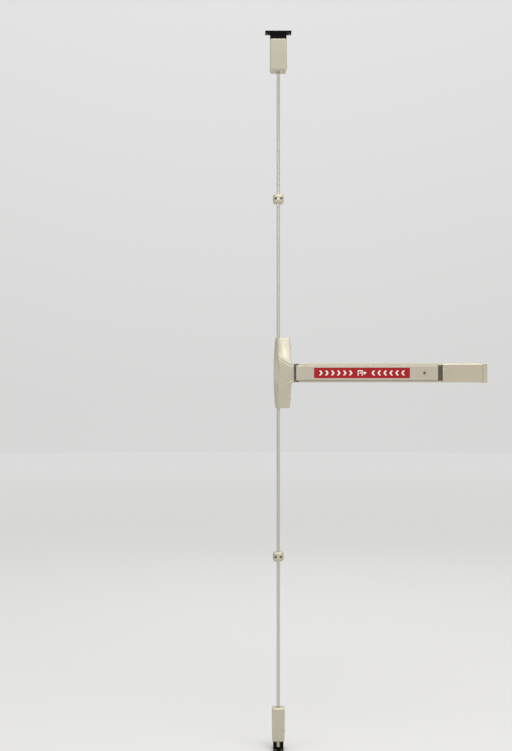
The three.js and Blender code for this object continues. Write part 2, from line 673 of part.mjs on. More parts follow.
for (const [side, z] of [['upper', GUIDE_UP], ['lower', GUIDE_DOWN]]) {
  piece(`${side}_rod_guide`, guide(), satinCast, part, [0, 0, z]);
  piece(`${side}_guide_screw_left`, guideScrew(), screwSteel, part, [-guideScrewX, 0, z]);
  piece(`${side}_guide_screw_right`, guideScrew(), screwSteel, part, [guideScrewX, 0, z]);
}

// ---------------------------------------------------------------- top latch
const top = new THREE.Group();
part.add(top);
const coverFront = (half, z0, z1, r, n = 4) => [
  ...circle(half - r, z0 + r, r, n, -Math.PI / 2, 0), [half, z1], [-half, z1], ...circle(-half + r, z0 + r, r, n, Math.PI, Math.PI * 1.5),
];
const coverSideTop = (z0, z1, face, r, inset) => [
  [inset ? -6 : 0, z0], [face - r, z0], ...circle(face - r, z0 + r, r, 4, -Math.PI / 2, 0).slice(1), [face, z1 - 1.5], [face - 1.5, z1], [inset ? -6 : 0, z1],
];
const topShell = (inset) =>
  prismY(coverFront(TL_HALF - inset, TL_BOTTOM + inset, TL_TOP - inset, 6 - inset), inset ? -6 : 0, TL_FACE - inset)
    .intersect(prismX(coverSideTop(TL_BOTTOM + inset, TL_TOP - inset, TL_FACE - inset, 5 - inset, inset), -40, 40))
    .intersect(
      prismZ(
        [[-TL_HALF + inset, -6], [TL_HALF - inset, -6], [TL_HALF - inset, TL_FACE - 3 - inset], [TL_HALF - 3 - inset, TL_FACE - inset], [-TL_HALF + 3 + inset, TL_FACE - inset], [-TL_HALF + inset, TL_FACE - 3 - inset]].map(([x, d]) => [x, d]),
        TL_BOTTOM - 5, TL_TOP + 5,
      ),
    );
const topScrewZ = 940;
piece(
  'top_latch_cover',
  cut(
    topShell(0), topShell(WALL),
    block(-11.6, 11.6, 7.4, 28.6, TL_TOP - 5, TL_TOP + 2), // way out for the bolt
    rodZ(0, ROD_DEPTH, 6.2, TL_BOTTOM - 2, TL_BOTTOM + 5, 14), // way in for the rod
    rodX(11, topScrewZ, 1.9, 20, 30, 10),
  ),
  satinCast, top,
);
piece(
  'top_latch_base',
  cut(
    add(
      prismY(coverFront(TL_HALF - WALL - GAP, TL_BOTTOM + WALL + GAP, TL_TOP - WALL - GAP, 4), 0, 2.5),
      block(-14, -11.2, 2, 29, 934, 1011),
      block(11.2, 14, 2, 29, 934, 1011),
      cut(block(-12, 12, 2, 28, 925, 928), rodZ(0, ROD_DEPTH, ROD_R + 0.4, 920, 930, 16)),
      block(19.6, 22, 2, 16, topScrewZ - 6, topScrewZ + 6),
    ),
    rodX(11, topScrewZ, 1.9, 15, 25, 10),
    ...[[-18.5, 1000], [18.5, 1000], [-18.5, 930], [0, 945]].map(([x, z]) => rodY(x, z, 2.4, -1, 4, 10)),
  ),
  zinc, top,
);
const boltSide = [
  [9, TOP_BOLT_FOOT], [27, TOP_BOLT_FOOT], [27, TOP_BOLT_TIP - 9], [20, TOP_BOLT_TIP], [9, TOP_BOLT_TIP],
];
piece(
  'top_bolt',
  cut(
    add(prismX(boltSide, -9.5, 9.5), block(-10.8, 10.8, 9, 27, TOP_BOLT_FOOT, 1000)),
    rodZ(0, ROD_DEPTH, ROD_R + GAP, TOP_BOLT_FOOT - 1, TOP_BOLT_FOOT + 14, 16),
  ),
  boltSteel, top,
);
piece('top_bolt_spring', helix(6, 7.4, 1.2, TOP_BOLT_FOOT - 928 - 2 * GAP, 5, 8), springSteel, top, [0, -ROD_DEPTH, 928 + GAP]);
piece(
  'top_cover_screw',
  cut(add(rodX(11, topScrewZ, 1.55, 18, TL_HALF + 0.6, 10), rodX(11, topScrewZ, 3.2, TL_HALF + 0.3, TL_HALF + 2, 10)),
    rodX(11, topScrewZ, 1.2, TL_HALF + 1, TL_HALF + 3, 6)),
  screwSteel, top,
);

// strike on the frame head, with a pocket for the bolt
piece(
  'top_strike',
  cut(
    add(
      prismZ(roundedRect(-40, 40, 2, 36, 2, 2), TS_TOP - 5, TS_TOP),
      block(-25, 25, 3, 35, TS_BOTTOM, TS_TOP - 4),
    ),
    block(-13.5, 13.5, 7.5, 30, TS_BOTTOM - 2, TS_TOP - 7.5),
    ...[-1, 1].map((s) => rodZ(s * 33, 19, 2.4, TS_TOP - 7, TS_TOP + 2, 10)),
  ),
  black, top,
);
for (const [name, s] of [['top_strike_screw_left', -1], ['top_strike_screw_right', 1]])
  piece(
    name,
    cut(add(rodZ(s * 33, 19, 2, TS_TOP - 6.5, TS_TOP - 0.3, 10), rodZ(s * 33, 19, 3.9, TS_TOP - 7.3, TS_TOP - 5.3, 10)),
      rodZ(s * 33, 19, 1.4, TS_TOP - 9, TS_TOP - 6.3, 6)),
    screwSteel, top,
  );

// ---------------------------------------------------------------- bottom latch
const bottom = new THREE.Group();
part.add(bottom);
const bottomShell = (inset) => {
  const zt = BL_TOP - inset;
  const zb = BL_BOTTOM + inset;
  const face = BL_FACE - inset;
  const r = 8 - inset;
  return prismY(
    [[-BL_HALF_BOTTOM + inset, zb], [BL_HALF_BOTTOM - inset, zb], [BL_HALF_TOP - inset, zt - 3], [BL_HALF_TOP - 3 - inset, zt], [-BL_HALF_TOP + 3 + inset, zt], [-BL_HALF_TOP + inset, zt - 3]],
    inset ? -6 : 0, face,
  )
    .intersect(
      prismX([[inset ? -6 : 0, zb], [face - 1.5, zb], [face, zb + 1.5], ...circle(face - r, zt - r, r, 5, 0, Math.PI / 2), [inset ? -6 : 0, zt]], -40, 40),
    )
    .intersect(
      prismZ(
        [[-BL_HALF_TOP + inset, -6], [BL_HALF_TOP - inset, -6], [BL_HALF_TOP - inset, face - 4], [BL_HALF_TOP - 1.2 - inset, face - 1.2], [BL_HALF_TOP - 4 - inset, face], [-BL_HALF_TOP + 4 + inset, face], [-BL_HALF_TOP + 1.2 + inset, face - 1.2], [-BL_HALF_TOP + inset, face - 4]],
        BL_BOTTOM - 5, BL_TOP + 5,
      ),
    );
};
const bottomScrewZ = -1096;
piece(
  'bottom_latch_cover',
  cut(
    bottomShell(0), bottomShell(WALL),
    rodZ(0, ROD_DEPTH, 6.2, BL_TOP - 12, BL_TOP + 2, 14),
    rodZ(0, ROD_DEPTH, BOTTOM_BOLT_R + 0.9, BL_BOTTOM - 2, BL_BOTTOM + 5, 14),
    rodX(9, bottomScrewZ, 1.9, 14, 24, 10),
  ),
  satinCast, bottom,
);
piece(
  'bottom_latch_base',
  cut(
    add(
      prismY([[-16.2, BL_BOTTOM + 2.4], [16.2, BL_BOTTOM + 2.4], [17, BL_TOP - 6], [14, BL_TOP - 2.6], [-14, BL_TOP - 2.6], [-17, BL_TOP - 6]], 0, 2.5),
      cut(block(-10, 10, 2, 27, -1034, -1031), rodZ(0, ROD_DEPTH, ROD_R + 0.4, -1040, -1025, 16)),
      cut(block(-10.4, 10.4, 2, 27.4, -1116, -1113), rodZ(0, ROD_DEPTH, BOTTOM_BOLT_R + 0.4, -1120, -1110, 16)),
      block(12.6, 15, 2, 14, bottomScrewZ - 6, bottomScrewZ + 6),
    ),
    rodX(9, bottomScrewZ, 1.9, 10, 20, 10),
    ...[[-12.4, -1040], [12.4, -1040], [-12.4, -1105]].map(([x, z]) => rodY(x, z, 2.2, -1, 4, 10)),
  ),
  zinc, bottom,
);
// bolt: a sleeve over the rod's end, and a shank that drops into the floor strike
piece(
  'bottom_bolt',
  cut(
    add(
      rodZ(0, ROD_DEPTH, 7.6, BOTTOM_BOLT_HEAD - 30, BOTTOM_BOLT_HEAD, 16),
      rodZ(0, ROD_DEPTH, BOTTOM_BOLT_R, BOTTOM_BOLT_TIP + 1.6, BOTTOM_BOLT_HEAD - 29, 16),
      rodZ(0, ROD_DEPTH, BOTTOM_BOLT_R - 1.4, BOTTOM_BOLT_TIP, BOTTOM_BOLT_TIP + 2, 16),
    ),
    rodZ(0, ROD_DEPTH, ROD_R + GAP, BOTTOM_BOLT_HEAD - 18, BOTTOM_BOLT_HEAD + 1, 16),
  ),
  boltSteel, bottom,
);
piece(
  'bottom_cover_screw',
  cut(add(rodX(9, bottomScrewZ, 1.55, 11.5, 19.8, 10), rodX(9, bottomScrewZ, 3, 19.4, 21, 10)),
    rodX(9, bottomScrewZ, 1.2, 20.2, 22, 6)),
  screwSteel, bottom,
);

// floor strike: a foot, two cheeks and a low keeper behind the bolt
piece(
  'floor_strike',
  cut(
    add(
      block(-15.5, 15.5, 2, 44, FLOOR, FLOOR + 3),
      block(-15.5, -8, 2, 33, FLOOR, -1124.5),
      block(8, 15.5, 2, 33, FLOOR, -1124.5),
      block(-15.5, 15.5, 2, 10.5, FLOOR, -1133),
    ),
    ...[-1, 1].map((s) => rodZ(s * 9, 38.5, 2.2, FLOOR - 1, FLOOR + 5, 10)),
  ),
  black, bottom,
);
for (const [name, s] of [['floor_strike_screw_left', -1], ['floor_strike_screw_right', 1]])
  piece(
    name,
    cut(add(rodZ(s * 9, 38.5, 1.8, FLOOR + 0.3, FLOOR + 4.5, 10), rodZ(s * 9, 38.5, 3.5, FLOOR + 3.3, FLOOR + 5, 10)),
      rodZ(s * 9, 38.5, 1.3, FLOOR + 4.1, FLOOR + 7, 6)),
    screwSteel, bottom,
  );

part.updateMatrixWorld(true);

export default part;
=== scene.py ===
"""Panic exit bar with surface vertical rods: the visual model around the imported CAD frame. Lengths below are in mm and
become metres in place(). X runs along the bar, depth is the distance from the door (depth d is Y = -d), Z is up."""

import json
import math

import bmesh
import bpy
from mathutils import Matrix, Vector

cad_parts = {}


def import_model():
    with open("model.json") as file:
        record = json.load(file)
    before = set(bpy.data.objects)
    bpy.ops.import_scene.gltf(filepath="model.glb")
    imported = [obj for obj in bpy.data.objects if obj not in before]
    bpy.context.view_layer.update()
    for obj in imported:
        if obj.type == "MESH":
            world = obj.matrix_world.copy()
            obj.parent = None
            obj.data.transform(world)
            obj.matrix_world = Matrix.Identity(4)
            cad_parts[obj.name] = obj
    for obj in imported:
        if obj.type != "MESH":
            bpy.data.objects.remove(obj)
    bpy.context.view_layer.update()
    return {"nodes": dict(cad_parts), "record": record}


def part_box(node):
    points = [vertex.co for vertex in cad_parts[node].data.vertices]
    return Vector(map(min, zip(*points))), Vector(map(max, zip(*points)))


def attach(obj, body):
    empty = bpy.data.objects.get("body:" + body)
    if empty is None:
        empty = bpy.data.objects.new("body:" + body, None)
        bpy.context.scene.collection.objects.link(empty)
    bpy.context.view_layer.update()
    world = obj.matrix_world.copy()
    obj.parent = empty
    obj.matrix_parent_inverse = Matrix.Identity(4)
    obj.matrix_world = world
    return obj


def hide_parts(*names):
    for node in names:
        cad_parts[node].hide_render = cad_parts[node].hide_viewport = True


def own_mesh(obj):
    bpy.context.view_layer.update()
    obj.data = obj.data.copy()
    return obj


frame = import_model()
scene = bpy.context.scene
MM = 0.001

# ------------------------------------------------------------------ camera
# level view from 3.6 m in front of the door, a little to the left of the rods
cam_data = bpy.data.cameras.new("camera")
cam_data.sensor_width = 36.0
cam_data.lens = 56.2
cam_data.clip_end = 60.0
cam = bpy.data.objects.new("camera", cam_data)
cam.location = (-0.068, -3.6, -0.0077)
cam.rotation_euler = (math.radians(90), 0, 0)
scene.collection.objects.link(cam)
scene.camera = cam


# ------------------------------------------------------------------ materials
def lin(c):
    """sRGB 0..255 to linear."""
    out = []
    for v in c:
        v = v / 255.0
        out.append(v / 12.92 if v <= 0.04045 else ((v + 0.055) / 1.055) ** 2.4)
    return (*out, 1.0)


def scaled(c, k):
    return (min(1.0, c[0] * k), min(1.0, c[1] * k), min(1.0, c[2] * k), 1.0)


def material(
    name,
    colour,
    rough,
    metallic,
    grain="cast",
    vary=0.06,
    rough_vary=0.08,
    bump=0.15,
    scale=1.0,
    edge=0.0,
    edge_colour=None,
    coat=0.0,
    aniso=0.0,
    blotch=0.35,
    spec=0.5,
    cavity=0.0,
):
    """A node material: colour mottled by noise, roughness by a finer noise, surface grain as bump, worn edges, and
    painted shade that darkens concave grooves.
    """
    m = bpy.data.materials.new(name)
    m.use_nodes = True
    nt = m.node_tree
    nt.nodes.clear()
    N = nt.nodes.new
    L = nt.links.new
    out = N("ShaderNodeOutputMaterial")
    sh = N("ShaderNodeBsdfPrincipled")
    L(sh.outputs["BSDF"], out.inputs["Surface"])
    sh.inputs["Metallic"].default_value = metallic
    sh.inputs["Coat Weight"].default_value = coat
    sh.inputs["Coat Roughness"].default_value = 0.25
    sh.inputs["Anisotropic"].default_value = aniso
    sh.inputs["Specular IOR Level"].default_value = spec
    tc = N("ShaderNodeTexCoord")
    stretch = {
        "cast": (1, 1, 1),
        "brushed_x": (0.012, 1, 1),
        "brushed_z": (1, 1, 0.012),
        "moulded": (1, 1, 1),
        "powder": (1, 1, 1),
    }[grain]
    # fine grain
    mp = N("ShaderNodeMapping")
    mp.inputs["Scale"].default_value = tuple(s * scale for s in stretch)
    L(tc.outputs["Object"], mp.inputs["Vector"])
    fine = N("ShaderNodeTexNoise")
    fine.inputs["Scale"].default_value = {
        "cast": 900.0,
        "brushed_x": 1500.0,
        "brushed_z": 1500.0,
        "moulded": 1400.0,
        "powder": 700.0,
    }[grain]
    fine.inputs["Detail"].default_value = 1.5 if grain == "cast" else 4.0
    fine.inputs["Roughness"].default_value = 0.6
    L(mp.outputs["Vector"], fine.inputs["Vector"])
    # broad mottling
    broad = N("ShaderNodeTexNoise")
    broad.inputs["Scale"].default_value = 22.0
    broad.inputs["Detail"].default_value = 5.0
    broad.inputs["Roughness"].default_value = 0.62
    L(tc.outputs["Object"], broad.inputs["Vector"])
    mix = N("ShaderNodeMix")
    mix.data_type = "FLOAT"
    mix.inputs[0].default_value = blotch
    L(fine.outputs["Fac"], mix.inputs[2])
    L(broad.outputs["Fac"], mix.inputs[3])
    ramp = N("ShaderNodeValToRGB")
    ramp.color_ramp.elements[0].position = 0.3
    ramp.color_ramp.elements[0].color = scaled(colour, 1 - vary)
    ramp.color_ramp.elements[1].position = 0.7
    ramp.color_ramp.elements[1].color = scaled(colour, 1 + vary)
    L(mix.outputs[0], ramp.inputs["Fac"])
    last = ramp.outputs["Color"]
    if edge > 0:
        geo = N("ShaderNodeNewGeometry")
        worn = N("ShaderNodeMapRange")
        worn.inputs["From Min"].default_value = 0.52
        worn.inputs["From Max"].default_value = 0.62
        worn.inputs["To Max"].default_value = edge
        L(geo.outputs["Pointiness"], worn.inputs["Value"])
        tint = N("ShaderNodeMix")
        tint.data_type = "RGBA"
        L(worn.outputs["Result"], tint.inputs[0])
        L(last, tint.inputs[6])
        tint.inputs[7].default_value = edge_colour or scaled(colour, 1.25)
        last = tint.outputs[2]
        if cavity > 0:  # painted shade: darkens concave grooves and creases, where shade falls
            deep = N("ShaderNodeMapRange")
            deep.inputs["From Min"].default_value = 0.494
            deep.inputs["From Max"].default_value = 0.462
            deep.inputs["To Max"].default_value = cavity
            L(geo.outputs["Pointiness"], deep.inputs["Value"])
            painted_groove_shade = N("ShaderNodeMix")
            painted_groove_shade.data_type = "RGBA"
            L(deep.outputs["Result"], painted_groove_shade.inputs[0])
            L(last, painted_groove_shade.inputs[6])
            painted_groove_shade.inputs[7].default_value = scaled(colour, 0.32)
            last = painted_groove_shade.outputs[2]
    L(last, sh.inputs["Base Color"])
    rr = N("ShaderNodeMapRange")
    rr.inputs["From Min"].default_value = 0.3
    rr.inputs["From Max"].default_value = 0.7
    rr.inputs["To Min"].default_value = max(0.03, rough - rough_vary)
    rr.inputs["To Max"].default_value = min(1.0, rough + rough_vary)
    if grain.startswith("brushed"):
        L(mix.outputs[0], rr.inputs["Value"])
    else:
        # worn smoother in soft patches
        patch = N("ShaderNodeTexNoise")
        patch.inputs["Scale"].default_value = 34.0
        patch.inputs["Detail"].default_value = 2.0
        patch.inputs["Roughness"].default_value = 0.5
        L(tc.outputs["Object"], patch.inputs["Vector"])
        L(patch.outputs["Fac"], rr.inputs["Value"])
    L(rr.outputs["Result"], sh.inputs["Roughness"])
    bp = N("ShaderNodeBump")
    bp.inputs["Strength"].default_value = bump
    bp.inputs["Distance"].default_value = 0.0002
    L(fine.outputs["Fac"], bp.inputs["Height"])
    L(bp.outputs["Normal"], sh.inputs["Normal"])
    return m


CAST = lin((193, 187, 168))
RAIL = lin((201, 193, 171))
M = {
    # the cast finish paints shade into its creases and grooves (cavity=0.55)
    "cast": material("satin_cast", CAST, 0.33, 0.55, "cast", vary=0.035, rough_vary=0.05, bump=0.035, edge=0.4, blotch=0.5, cavity=0.55),
    "rail": material("satin_rail", RAIL, 0.34, 0.75, "brushed_x", vary=0.05, rough_vary=0.04, bump=0.12, edge=0.4, aniso=0.4),
    "pad": material("satin_pad", lin((201, 193, 176)), 0.33, 0.72, "brushed_x", vary=0.05, rough_vary=0.04, bump=0.14, edge=0.4, aniso=0.4),
    "rod": material("rod_steel", lin((200, 194, 184)), 0.3, 0.95, "brushed_z", vary=0.03, rough_vary=0.03, bump=0.03, scale=0.5, edge=0.3, aniso=0.3),
    "zinc": material("zinc_steel", lin((168, 168, 162)), 0.4, 0.9, "cast", vary=0.12, bump=0.12, scale=0.5, edge=0.5, blotch=0.7),
    "bolt": material("bolt_steel", lin((238, 231, 203)), 0.42, 0.25, "brushed_z", vary=0.08, bump=0.08, edge=0.5),
    "screw": material("screw_steel", lin((136, 130, 117)), 0.36, 0.9, "cast", vary=0.1, bump=0.1, edge=0.6),
    "satin_screw": material("satin_screw", lin((178, 172, 154)), 0.34, 0.8, "cast", vary=0.08, bump=0.1, edge=0.6),
    "spring": material("spring_steel", lin((104, 104, 104)), 0.3, 0.95, "cast", vary=0.08, bump=0.06),
    "black": material("black_steel", lin((9, 8, 6)), 0.6, 0.0, "powder", vary=0.3, bump=0.4, edge=0.3, edge_colour=lin((42, 39, 35)), spec=0.07),
    "plastic": material("dark_plastic", lin((98, 92, 78)), 0.55, 0.0, "moulded", vary=0.12, bump=0.35),
    "red": material("label_red", lin((158, 6, 20)), 0.5, 0.0, "moulded", vary=0.08, bump=0.08, spec=0.3),
    "white": material("label_white", lin((232, 226, 216)), 0.5, 0.0, "moulded", vary=0.03, bump=0.05),
}
# the CAD nodes' finishes, by the record's slot
SLOT_MATERIAL = {
    "satin_cast": "cast",
    "satin_rail": "rail",
    "rod_steel": "rod",
    "zinc_steel": "zinc",
    "bolt_steel": "bolt",
    "screw_steel": "screw",
    "spring_steel": "spring",
    "black_steel": "black",
    "dark_plastic": "plastic",
    "label_red": "red",
}
NODE_SLOT = {s["node"]: s["material_slot"] for s in frame["record"]["subparts"]}
NODE_BODY = {n: b for b, ns in frame["record"]["behaviour"]["bodies"].items() for n in ns}


# ------------------------------------------------------------------ outlines
def circle(cu, cv, r, n=32, a0=0.0, a1=360.0):
    whole = abs(a1 - a0 - 360.0) < 1e-6
    return [
        (cu + r * math.cos(math.radians(a0 + (a1 - a0) * i / n)), cv + r * math.sin(math.radians(a0 + (a1 - a0) * i / n)))
        for i in range(n if whole else n + 1)
    ]


def fillet(points, radius, n=5):
    """The closed outline with its corners rounded. radius is one number, or one for each corner."""
    out = []
    m = len(points)
    for i, p in enumerate(points):
        r = radius[i] if isinstance(radius, (list, tuple)) else radius
        p = Vector(p)
        a = Vector(points[i - 1]) - p
        b = Vector(points[(i + 1) % m]) - p
        la, lb = a.length, b.length
        a.normalize()
        b.normalize()
        ang = a.angle(b)
        if r <= 1e-6 or ang > math.radians(176):
            out.append((p.x, p.y))
            continue
        t = min(r / math.tan(ang / 2), 0.49 * la, 0.49 * lb)
        rr = t * math.tan(ang / 2)
        c = p + (a + b).normalized() * (rr / math.sin(ang / 2))
        s, e = p + a * t - c, p + b * t - c
        a0, a1 = math.atan2(s.y, s.x), math.atan2(e.y, e.x)
        d = (a1 - a0 + math.pi) % (2 * math.pi) - math.pi
        for k in range(n + 1):
            q = a0 + d * k / n
            out.append((c.x + rr * math.cos(q), c.y + rr * math.sin(q)))
    return out


def stadium(u0, v0, u1, v1, r, n=12):
    a = math.degrees(math.atan2(v1 - v0, u1 - u0))
    return circle(u1, v1, r, n, a - 90, a + 90) + circle(u0, v0, r, n, a + 90, a + 270)


# ------------------------------------------------------------------ solids
def obj(name, verts, faces):
    """A new object from points given as X, depth, Z in mm."""
    me = bpy.data.meshes.new(name)
    me.from_pydata([(x * MM, -d * MM, z * MM) for x, d, z in verts], [], faces)
    bm = bmesh.new()
    bm.from_mesh(me)
    bmesh.ops.remove_doubles(bm, verts=bm.verts, dist=1e-7)
    bmesh.ops.recalc_face_normals(bm, faces=bm.faces)
    bm.to_mesh(me)
    bm.free()
    o = bpy.data.objects.new(name, me)
    scene.collection.objects.link(o)
    return o


def prism(axis, outline, a, b, name="tool"):
    """An outline extruded from a to b. Outlines are (depth, Z) along X, (X, Z) along depth and (X, depth) along Z."""
    put = {
        "X": lambda u, v, w: (w, u, v),
        "Y": lambda u, v, w: (u, w, v),
        "Z": lambda u, v, w: (u, v, w),
    }[axis]
    n = len(outline)
    verts = [put(u, v, a) for u, v in outline] + [put(u, v, b) for u, v in outline]
    faces = [tuple(range(n)), tuple(range(2 * n - 1, n - 1, -1))]
    faces += [(i, (i + 1) % n, n + (i + 1) % n, n + i) for i in range(n)]
    return obj(name, verts, faces)


def block(x0, x1, d0, d1, z0, z1):
    return prism("Z", [(x0, d0), (x1, d0), (x1, d1), (x0, d1)], z0, z1)


def rod(axis, cu, cv, r, a, b, n=32, name="tool"):
    return prism(axis, circle(cu, cv, r, n), a, b, name)


def turned(axis, cu, cv, profile, n=48, name="tool"):
    """A turned solid: profile is (radius, position along axis) pairs, with radius 0 at both ends."""
    put = {
        "X": lambda u, v, w: (w, cu + u, cv + v),
        "Y": lambda u, v, w: (cu + u, w, cv + v),
        "Z": lambda u, v, w: (cu + u, cv + v, w),
    }[axis]
    verts, rings = [], []
    for r, w in profile:
        if r < 1e-6:
            rings.append([len(verts)])
            verts.append(put(0, 0, w))
        else:
            rings.append(list(range(len(verts), len(verts) + n)))
            verts += [put(r * math.cos(2 * math.pi * i / n), r * math.sin(2 * math.pi * i / n), w) for i in range(n)]
    faces = []
    for p, q in zip(rings, rings[1:]):
        for i in range(n):
            j = (i + 1) % n
            if len(p) == 1 and len(q) == 1:
                continue
            if len(p) == 1:
                faces.append((p[0], q[i], q[j]))
            elif len(q) == 1:
                faces.append((p[i], q[0], p[j]))
            else:
                faces.append((p[i], p[j], q[j], q[i]))
    return obj(name, verts, faces)


def bake(o):
    """Modifiers into the mesh."""
    dg = bpy.context.evaluated_depsgraph_get()
    me = bpy.data.meshes.new_from_object(o.evaluated_get(dg))
    o.modifiers.clear()
    old = o.data
    o.data = me
    if old.users == 0:
        bpy.data.meshes.remove(old)
    return o


def drop(o):
    me = o.data
    bpy.data.objects.remove(o)
    if me and me.users == 0:
        bpy.data.meshes.remove(me)


def boolean(o, tools, op):
    for t in tools:
        m = o.modifiers.new("b", "BOOLEAN")
        m.operation = op
        m.solver = "MANIFOLD"
        m.object = t
    bake(o)
    for t in tools:
        drop(t)
    return o


def cut(o, *tools):
    return boolean(o, tools, "DIFFERENCE")


def join(o, *tools):
    return boolean(o, tools, "UNION")


def common(o, *tools):
    return boolean(o, tools, "INTERSECT")


def tidy(o, angle=0.6):
    """Merges doubled points and the coplanar triangles that booleans leave."""
    bm = bmesh.new()
    bm.from_mesh(o.data)
    bmesh.ops.remove_doubles(bm, verts=bm.verts, dist=2e-6)
    bmesh.ops.dissolve_degenerate(bm, dist=1e-6, edges=bm.edges)
    bmesh.ops.dissolve_limit(bm, angle_limit=math.radians(angle), verts=bm.verts, edges=bm.edges, delimit={"NORMAL"})
    bm.to_mesh(o.data)
    bm.free()
    return o


def soften(o, width=0.4, segments=2, angle=35.0, profile=0.7):
    """Rounds the edges sharper than angle."""
    m = o.modifiers.new("bevel", "BEVEL")
    m.width = width * MM
    m.segments = segments
    m.limit_method = "ANGLE"
    m.angle_limit = math.radians(angle)
    m.profile = profile
    m.use_clamp_overlap = True
    m.miter_outer = "MITER_ARC" if segments > 2 else "MITER_SHARP"
    m.loop_slide = True
    return bake(o)


def clean(o):
    """Takes out points and edges too small to see, which rounding leaves at tight corners."""
    bm = bmesh.new()
    bm.from_mesh(o.data)
    bmesh.ops.remove_doubles(bm, verts=bm.verts, dist=6e-6)
    bmesh.ops.dissolve_degenerate(bm, dist=6e-6, edges=bm.edges)
    bm.to_mesh(o.data)
    bm.free()
    return o


def smooth(o, angle=32.0, weighted=True):
    for p in o.data.polygons:
        p.use_smooth = True
    o.data.set_sharp_from_angle(angle=math.radians(angle))
    if weighted:
        m = o.modifiers.new("normals", "WEIGHTED_NORMAL")
        m.keep_sharp = True
        m.weight = 60
    return o


def divide(o, step):
    """Cuts the long faces across X and Z, so edge wear stays next to the edges and doesn't run across a whole face."""
    bm = bmesh.new()
    bm.from_mesh(o.data)
    for axis in (0, 2):
        lo = min(v.co[axis] for v in bm.verts)
        hi = max(v.co[axis] for v in bm.verts)
        n = int((hi - lo) / (step * MM))
        for k in range(1, n):
            co, no = [0.0, 0.0, 0.0], [0.0, 0.0, 0.0]
            co[axis] = lo + (hi - lo) * k / n
            no[axis] = 1.0
            bmesh.ops.bisect_plane(bm, geom=bm.verts[:] + bm.edges[:] + bm.faces[:], dist=2e-5, plane_co=co, plane_no=no)
    bm.to_mesh(o.data)
    bm.free()
    return o


def place(o, node, mat=None, name=None, replaces=True, body=None, angle=32.0, weighted=True):
    """Names a finished piece, gives it its finish and lets it stand for the CAD node."""
    o.name = name or (node + "_shape")
    o.data.name = o.name
    if node != "centre_cover" and (mat or SLOT_MATERIAL[NODE_SLOT[node]]) in ("cast", "rail", "pad", "plastic", "black"):
        divide(o, 9.0)
    clean(o)
    smooth(o, angle, weighted)
    o.data.materials.clear()
    o.data.materials.append(M[mat or SLOT_MATERIAL[NODE_SLOT[node]]])
    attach(o, body or NODE_BODY[node])
    if replaces:
        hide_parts(node)
    return o


def hexagon(cu, cv, flats, turn=0.0):
    return circle(cu, cv, flats / math.sqrt(3), 6, turn, turn + 360)


# ------------------------------------------------------------------ rail
rail_lo, rail_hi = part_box("rail_housing")
R0, R1 = rail_lo.x / MM, rail_hi.x / MM
RH = 28.7
rail_outline = [
    (43, -23.7), (43, -24.6), (37.5, -RH), (0, -RH), (0, RH), (37.5, RH), (43, 24.6), (43, 23.7),
    (40.8, 23.7), (36.6, 26.4), (2, 26.4), (2, -26.4), (36.6, -26.4), (40.8, -23.7),
]
rail_round = [0.3, 0.5, 1.6, 0.6, 0.6, 1.6, 0.5, 0.3, 0.4, 1.0, 1.2, 1.2, 1.0, 0.4]
rail = prism("X", fillet(rail_outline, rail_round, 4), R0, R1)
cut(
    rail,
    prism("Y", fillet([(40, -40), (61.5, -40), (61.5, 40), (40, 40)], 2.5, 4), 30, 50),
    *[rod("Y", 66, z, 2.2, -1, 3, 28) for z in (-8, 8)],
    *[rod("Y", 600, z, 2.6, -1, 3, 28) for z in (-10, 10)],
)
tidy(rail)
soften(rail, 0.3, 2, 40)
place(rail, "rail_housing")

# filler cover: a plate that wraps the lips, with rounded long edges
c_lo, c_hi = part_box("rail_cover")
cover = prism(
    "X",
    fillet([(46, -RH), (46, RH), (38, RH), (43.3, 24.75), (43.3, -24.75), (38, -RH)], [4.6, 4.6, 0.3, 0.3, 0.3, 0.3], 8),
    c_lo.x / MM, c_hi.x / MM,
)
soften(cover, 0.45, 3, 45)
place(cover, "rail_cover")

# end cap
CAP0, CAP1, CAPH, CAPF = 620, 633.4, 29.75, 47.5
cap = prism("X", fillet([(0, -CAPH), (0, CAPH), (CAPF, CAPH), (CAPF, -CAPH)], [0.8, 0.8, 3.0, 3.0], 6), CAP0, CAP1)
soften(cap, 1.5, 4, 60, 0.5)
cut(
    cap,
    prism("X", fillet([(-1, -27.2), (-1, 27.2), (45, 27.2), (45, -27.2)], [0, 0, 2, 2], 4), CAP0 - 1, CAP1 - 3),
    rod("X", 20, 14, 2.4, CAP1 - 5, CAP1 + 1), rod("X", 20, -14, 2.4, CAP1 - 5, CAP1 + 1),
    turned("X", 20, 14, [(0, CAP1 - 1.7), (4.1, CAP1 - 1.7), (4.3, CAP1 + 1), (0, CAP1 + 1)], 36),
    turned("X", 20, -14, [(0, CAP1 - 1.7), (4.1, CAP1 - 1.7), (4.3, CAP1 + 1), (0, CAP1 + 1)], 36),
)
soften(tidy(cap), 0.3, 2, 50)
place(cap, "end_cap")


